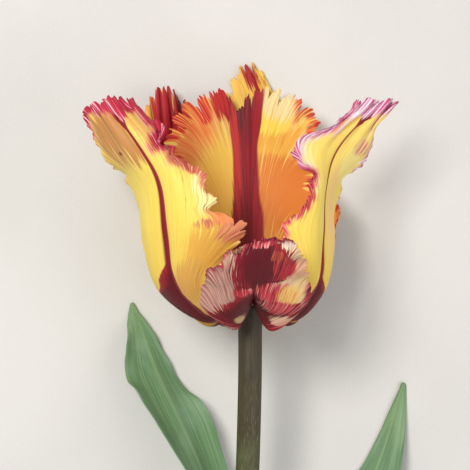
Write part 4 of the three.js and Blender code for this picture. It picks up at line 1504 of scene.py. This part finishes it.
# %% [markdown]
# ## The leaves
#
# A tulip's leaf is a long waved blade that clasps the stem, blue-green under a pale waxy bloom,
# with fine straight veins from its foot to its tip. It has no cut edge, so a plain grid is enough
# for its shape. Its veins and its wax follow the blade, so they are painted in its own coordinates.

# %% The skin of a leaf
LEAF_GREEN = [(0, "#7F9560"), (0.2, "#5F8254"), (0.8, "#55794F"), (1, "#6E8A4E")]


def leaf_finish(name, seed):
    material, bench, shader = new_finish(name, Specular_IOR_Level=0.3)
    across, u, _ = bench.split(bench.node("ShaderNodeUVMap", {"uv_map": "blade"}))
    inner = bench.fact("inner")
    veins = bench.noise(bench.join(across * 46, u * 1.5, seed), detail=3)
    clouds = bench.noise(bench.join(across * 3, u * 7, seed + 5), detail=3)
    middle = bench.step(0.06, 0.0, bench.maths("ABSOLUTE", across - 0.5))
    skin = bench.colours(u + (clouds - 0.5) * 0.5, LEAF_GREEN)
    for mask, shade in (
        (bench.step(0.4, 0.75, clouds) * 0.5, "#8FAE92"),
        (bench.step(0.5, 0.68, veins) * 0.35, "#A3BB86"),
        (bench.step(0.5, 0.32, veins) * 0.35, "#3F6242"),
        (middle * 0.35, "#95AD77"),
        (inner * 0.25, "#7DA07A"),
    ):
        skin = bench.tint(mask, skin, shade)
    relief = bench.bump(veins, 0.4, 0.4)
    lay_on(bench, shader, Base_Color=skin, Roughness=0.42 + clouds * 0.25, Normal=relief)
    return material


# %% [markdown]
# The two leaves are laid out on an even grid, thinner towards their margins. Then every piece is
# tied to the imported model: it rides on the one body there is, and it stands for its plain node.

# %% Lay out the leaves and tie the pieces to their nodes
LEAF_GRID = (220, 64)


def leaf_piece(name, form):
    u, v = even_grid(*LEAF_GRID)
    thickness = form["thickness"] * (0.5 + 0.5 * ease(0, 0.3, 1 - np.abs(v)))
    piece = blade_solid(name, blade_point(form, u, v), thickness, {}, ((v + 1) / 2, u), form["side"])
    piece.data.materials.append(leaf_finish(name + "_skin", form["seed"] * 3.1))
    return piece


for node in LEAVES:
    pieces[node] = leaf_piece(node.replace("leaf_", "") + "_leaf", FORMS[node])

for node, piece in pieces.items():
    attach(piece, "root")
    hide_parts(node)

# %% [markdown]
# ## The table, the light and the camera
#
# The flower lies on a plain pale table, so that nothing competes with it. It isn't part of the
# flower, so it is marked as the stage. Even a plain table has a grain of its own: without it the
# flower would seem to float on nothing.

# %% The table
TABLE_HALF = 2


def table_finish():
    material, bench, shader = new_finish("table_paper", Specular_IOR_Level=0.2)
    place = bench.node("ShaderNodeTexCoord", out=3)
    clouds = bench.noise(place, scale=9, detail=4)
    grain = bench.noise(place, scale=900, detail=2)
    painted = bench.colours(clouds, [(0.3, "#D3D1CC"), (0.7, "#DBD9D5")])
    painted = bench.tint(bench.step(0.55, 0.7, grain) * 0.2, painted, "#E6E4E0")
    relief = bench.bump(grain, 0.08, 0.2)
    lay_on(bench, shader, Base_Color=painted, Roughness=0.75 + grain * 0.15, Normal=relief)
    return material


mesh = bpy.data.meshes.new("table")
corners = [(x * TABLE_HALF, y * TABLE_HALF, 0) for x, y in ((-1, -1), (1, -1), (1, 1), (-1, 1))]
mesh.from_pydata(corners, [], [(0, 1, 2, 3)])
mesh.materials.append(table_finish())
add_object("table", mesh)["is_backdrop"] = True
print("the table is", 2 * TABLE_HALF, "m wide")

# %% [markdown]
# One large soft lamp stands at the upper left, and a wide fill on the right keeps the shadows
# open. Both are discs, because the larger a lamp is, the softer its shadows are. An even white
# world lights what the lamps miss.

# %% The lamps
BLOOM = Vector((0, 0.1, 0.03))


def soft_light(name, place, size, watts, tint):
    data = bpy.data.lights.new(name, "AREA")
    data.shape = "DISK"
    data.size = size
    data.energy = watts
    data.color = tint
    light = add_object(name, data)
    light.location = place
    light.rotation_euler = (BLOOM - light.location).to_track_quat("-Z", "Y").to_euler()
    print(name, "stands", round((BLOOM - light.location).length, 2), "m from the bloom")


soft_light("key", (-0.35, 0.4, 0.95), 0.4, 8.3, (1, 0.98, 0.95))
soft_light("fill", (0.7, -0.1, 0.7), 0.8, 3.2, (0.97, 0.98, 1))
world = bpy.data.worlds.new("studio")
bpy.context.scene.world = world
world.use_nodes = True
sky = world.node_tree.nodes["Background"].inputs
sky["Color"].default_value = (1, 1, 1, 1)
sky["Strength"].default_value = 0.4
bpy.context.scene.view_settings.view_transform = "Standard"

# %% [markdown]
# The camera hangs straight over the bloom, 0.7 m above the stem's top, with a lens that takes in
# 0.18 m there, as the photograph does. From so far away the petals that stand up hardly look
# larger than those that lie behind them.

# %% The camera
CAMERA_HEIGHT = 700
HALF_VIEW = 89.3
LOOKS_AT = (-5.7, 23.2)
camera_data = bpy.data.cameras.new("camera")
camera_data.sensor_width = 36
camera_data.lens = camera_data.sensor_width / 2 * CAMERA_HEIGHT / HALF_VIEW
camera = add_object("camera", camera_data)
camera.location = Vector((SHIFT + np.array([*LOOKS_AT, CAMERA_HEIGHT])) * MM)
bpy.context.scene.camera = camera
print("the camera stands at", [round(part, 4) for part in camera.location])

# %% [markdown]
# ## The finished size
#
# The box round the finished flower is set beside the box of the plain model, so that anyone can
# see that the fine petals stay in their places.

# %% Set the boxes side by side
size = dict(cad=[list(corner) for corner in cad_box], visual=[list(corner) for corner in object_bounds()])
for name, box in size.items():
    print(name, "box in mm:", [[round(part / MM, 1) for part in corner] for corner in box])
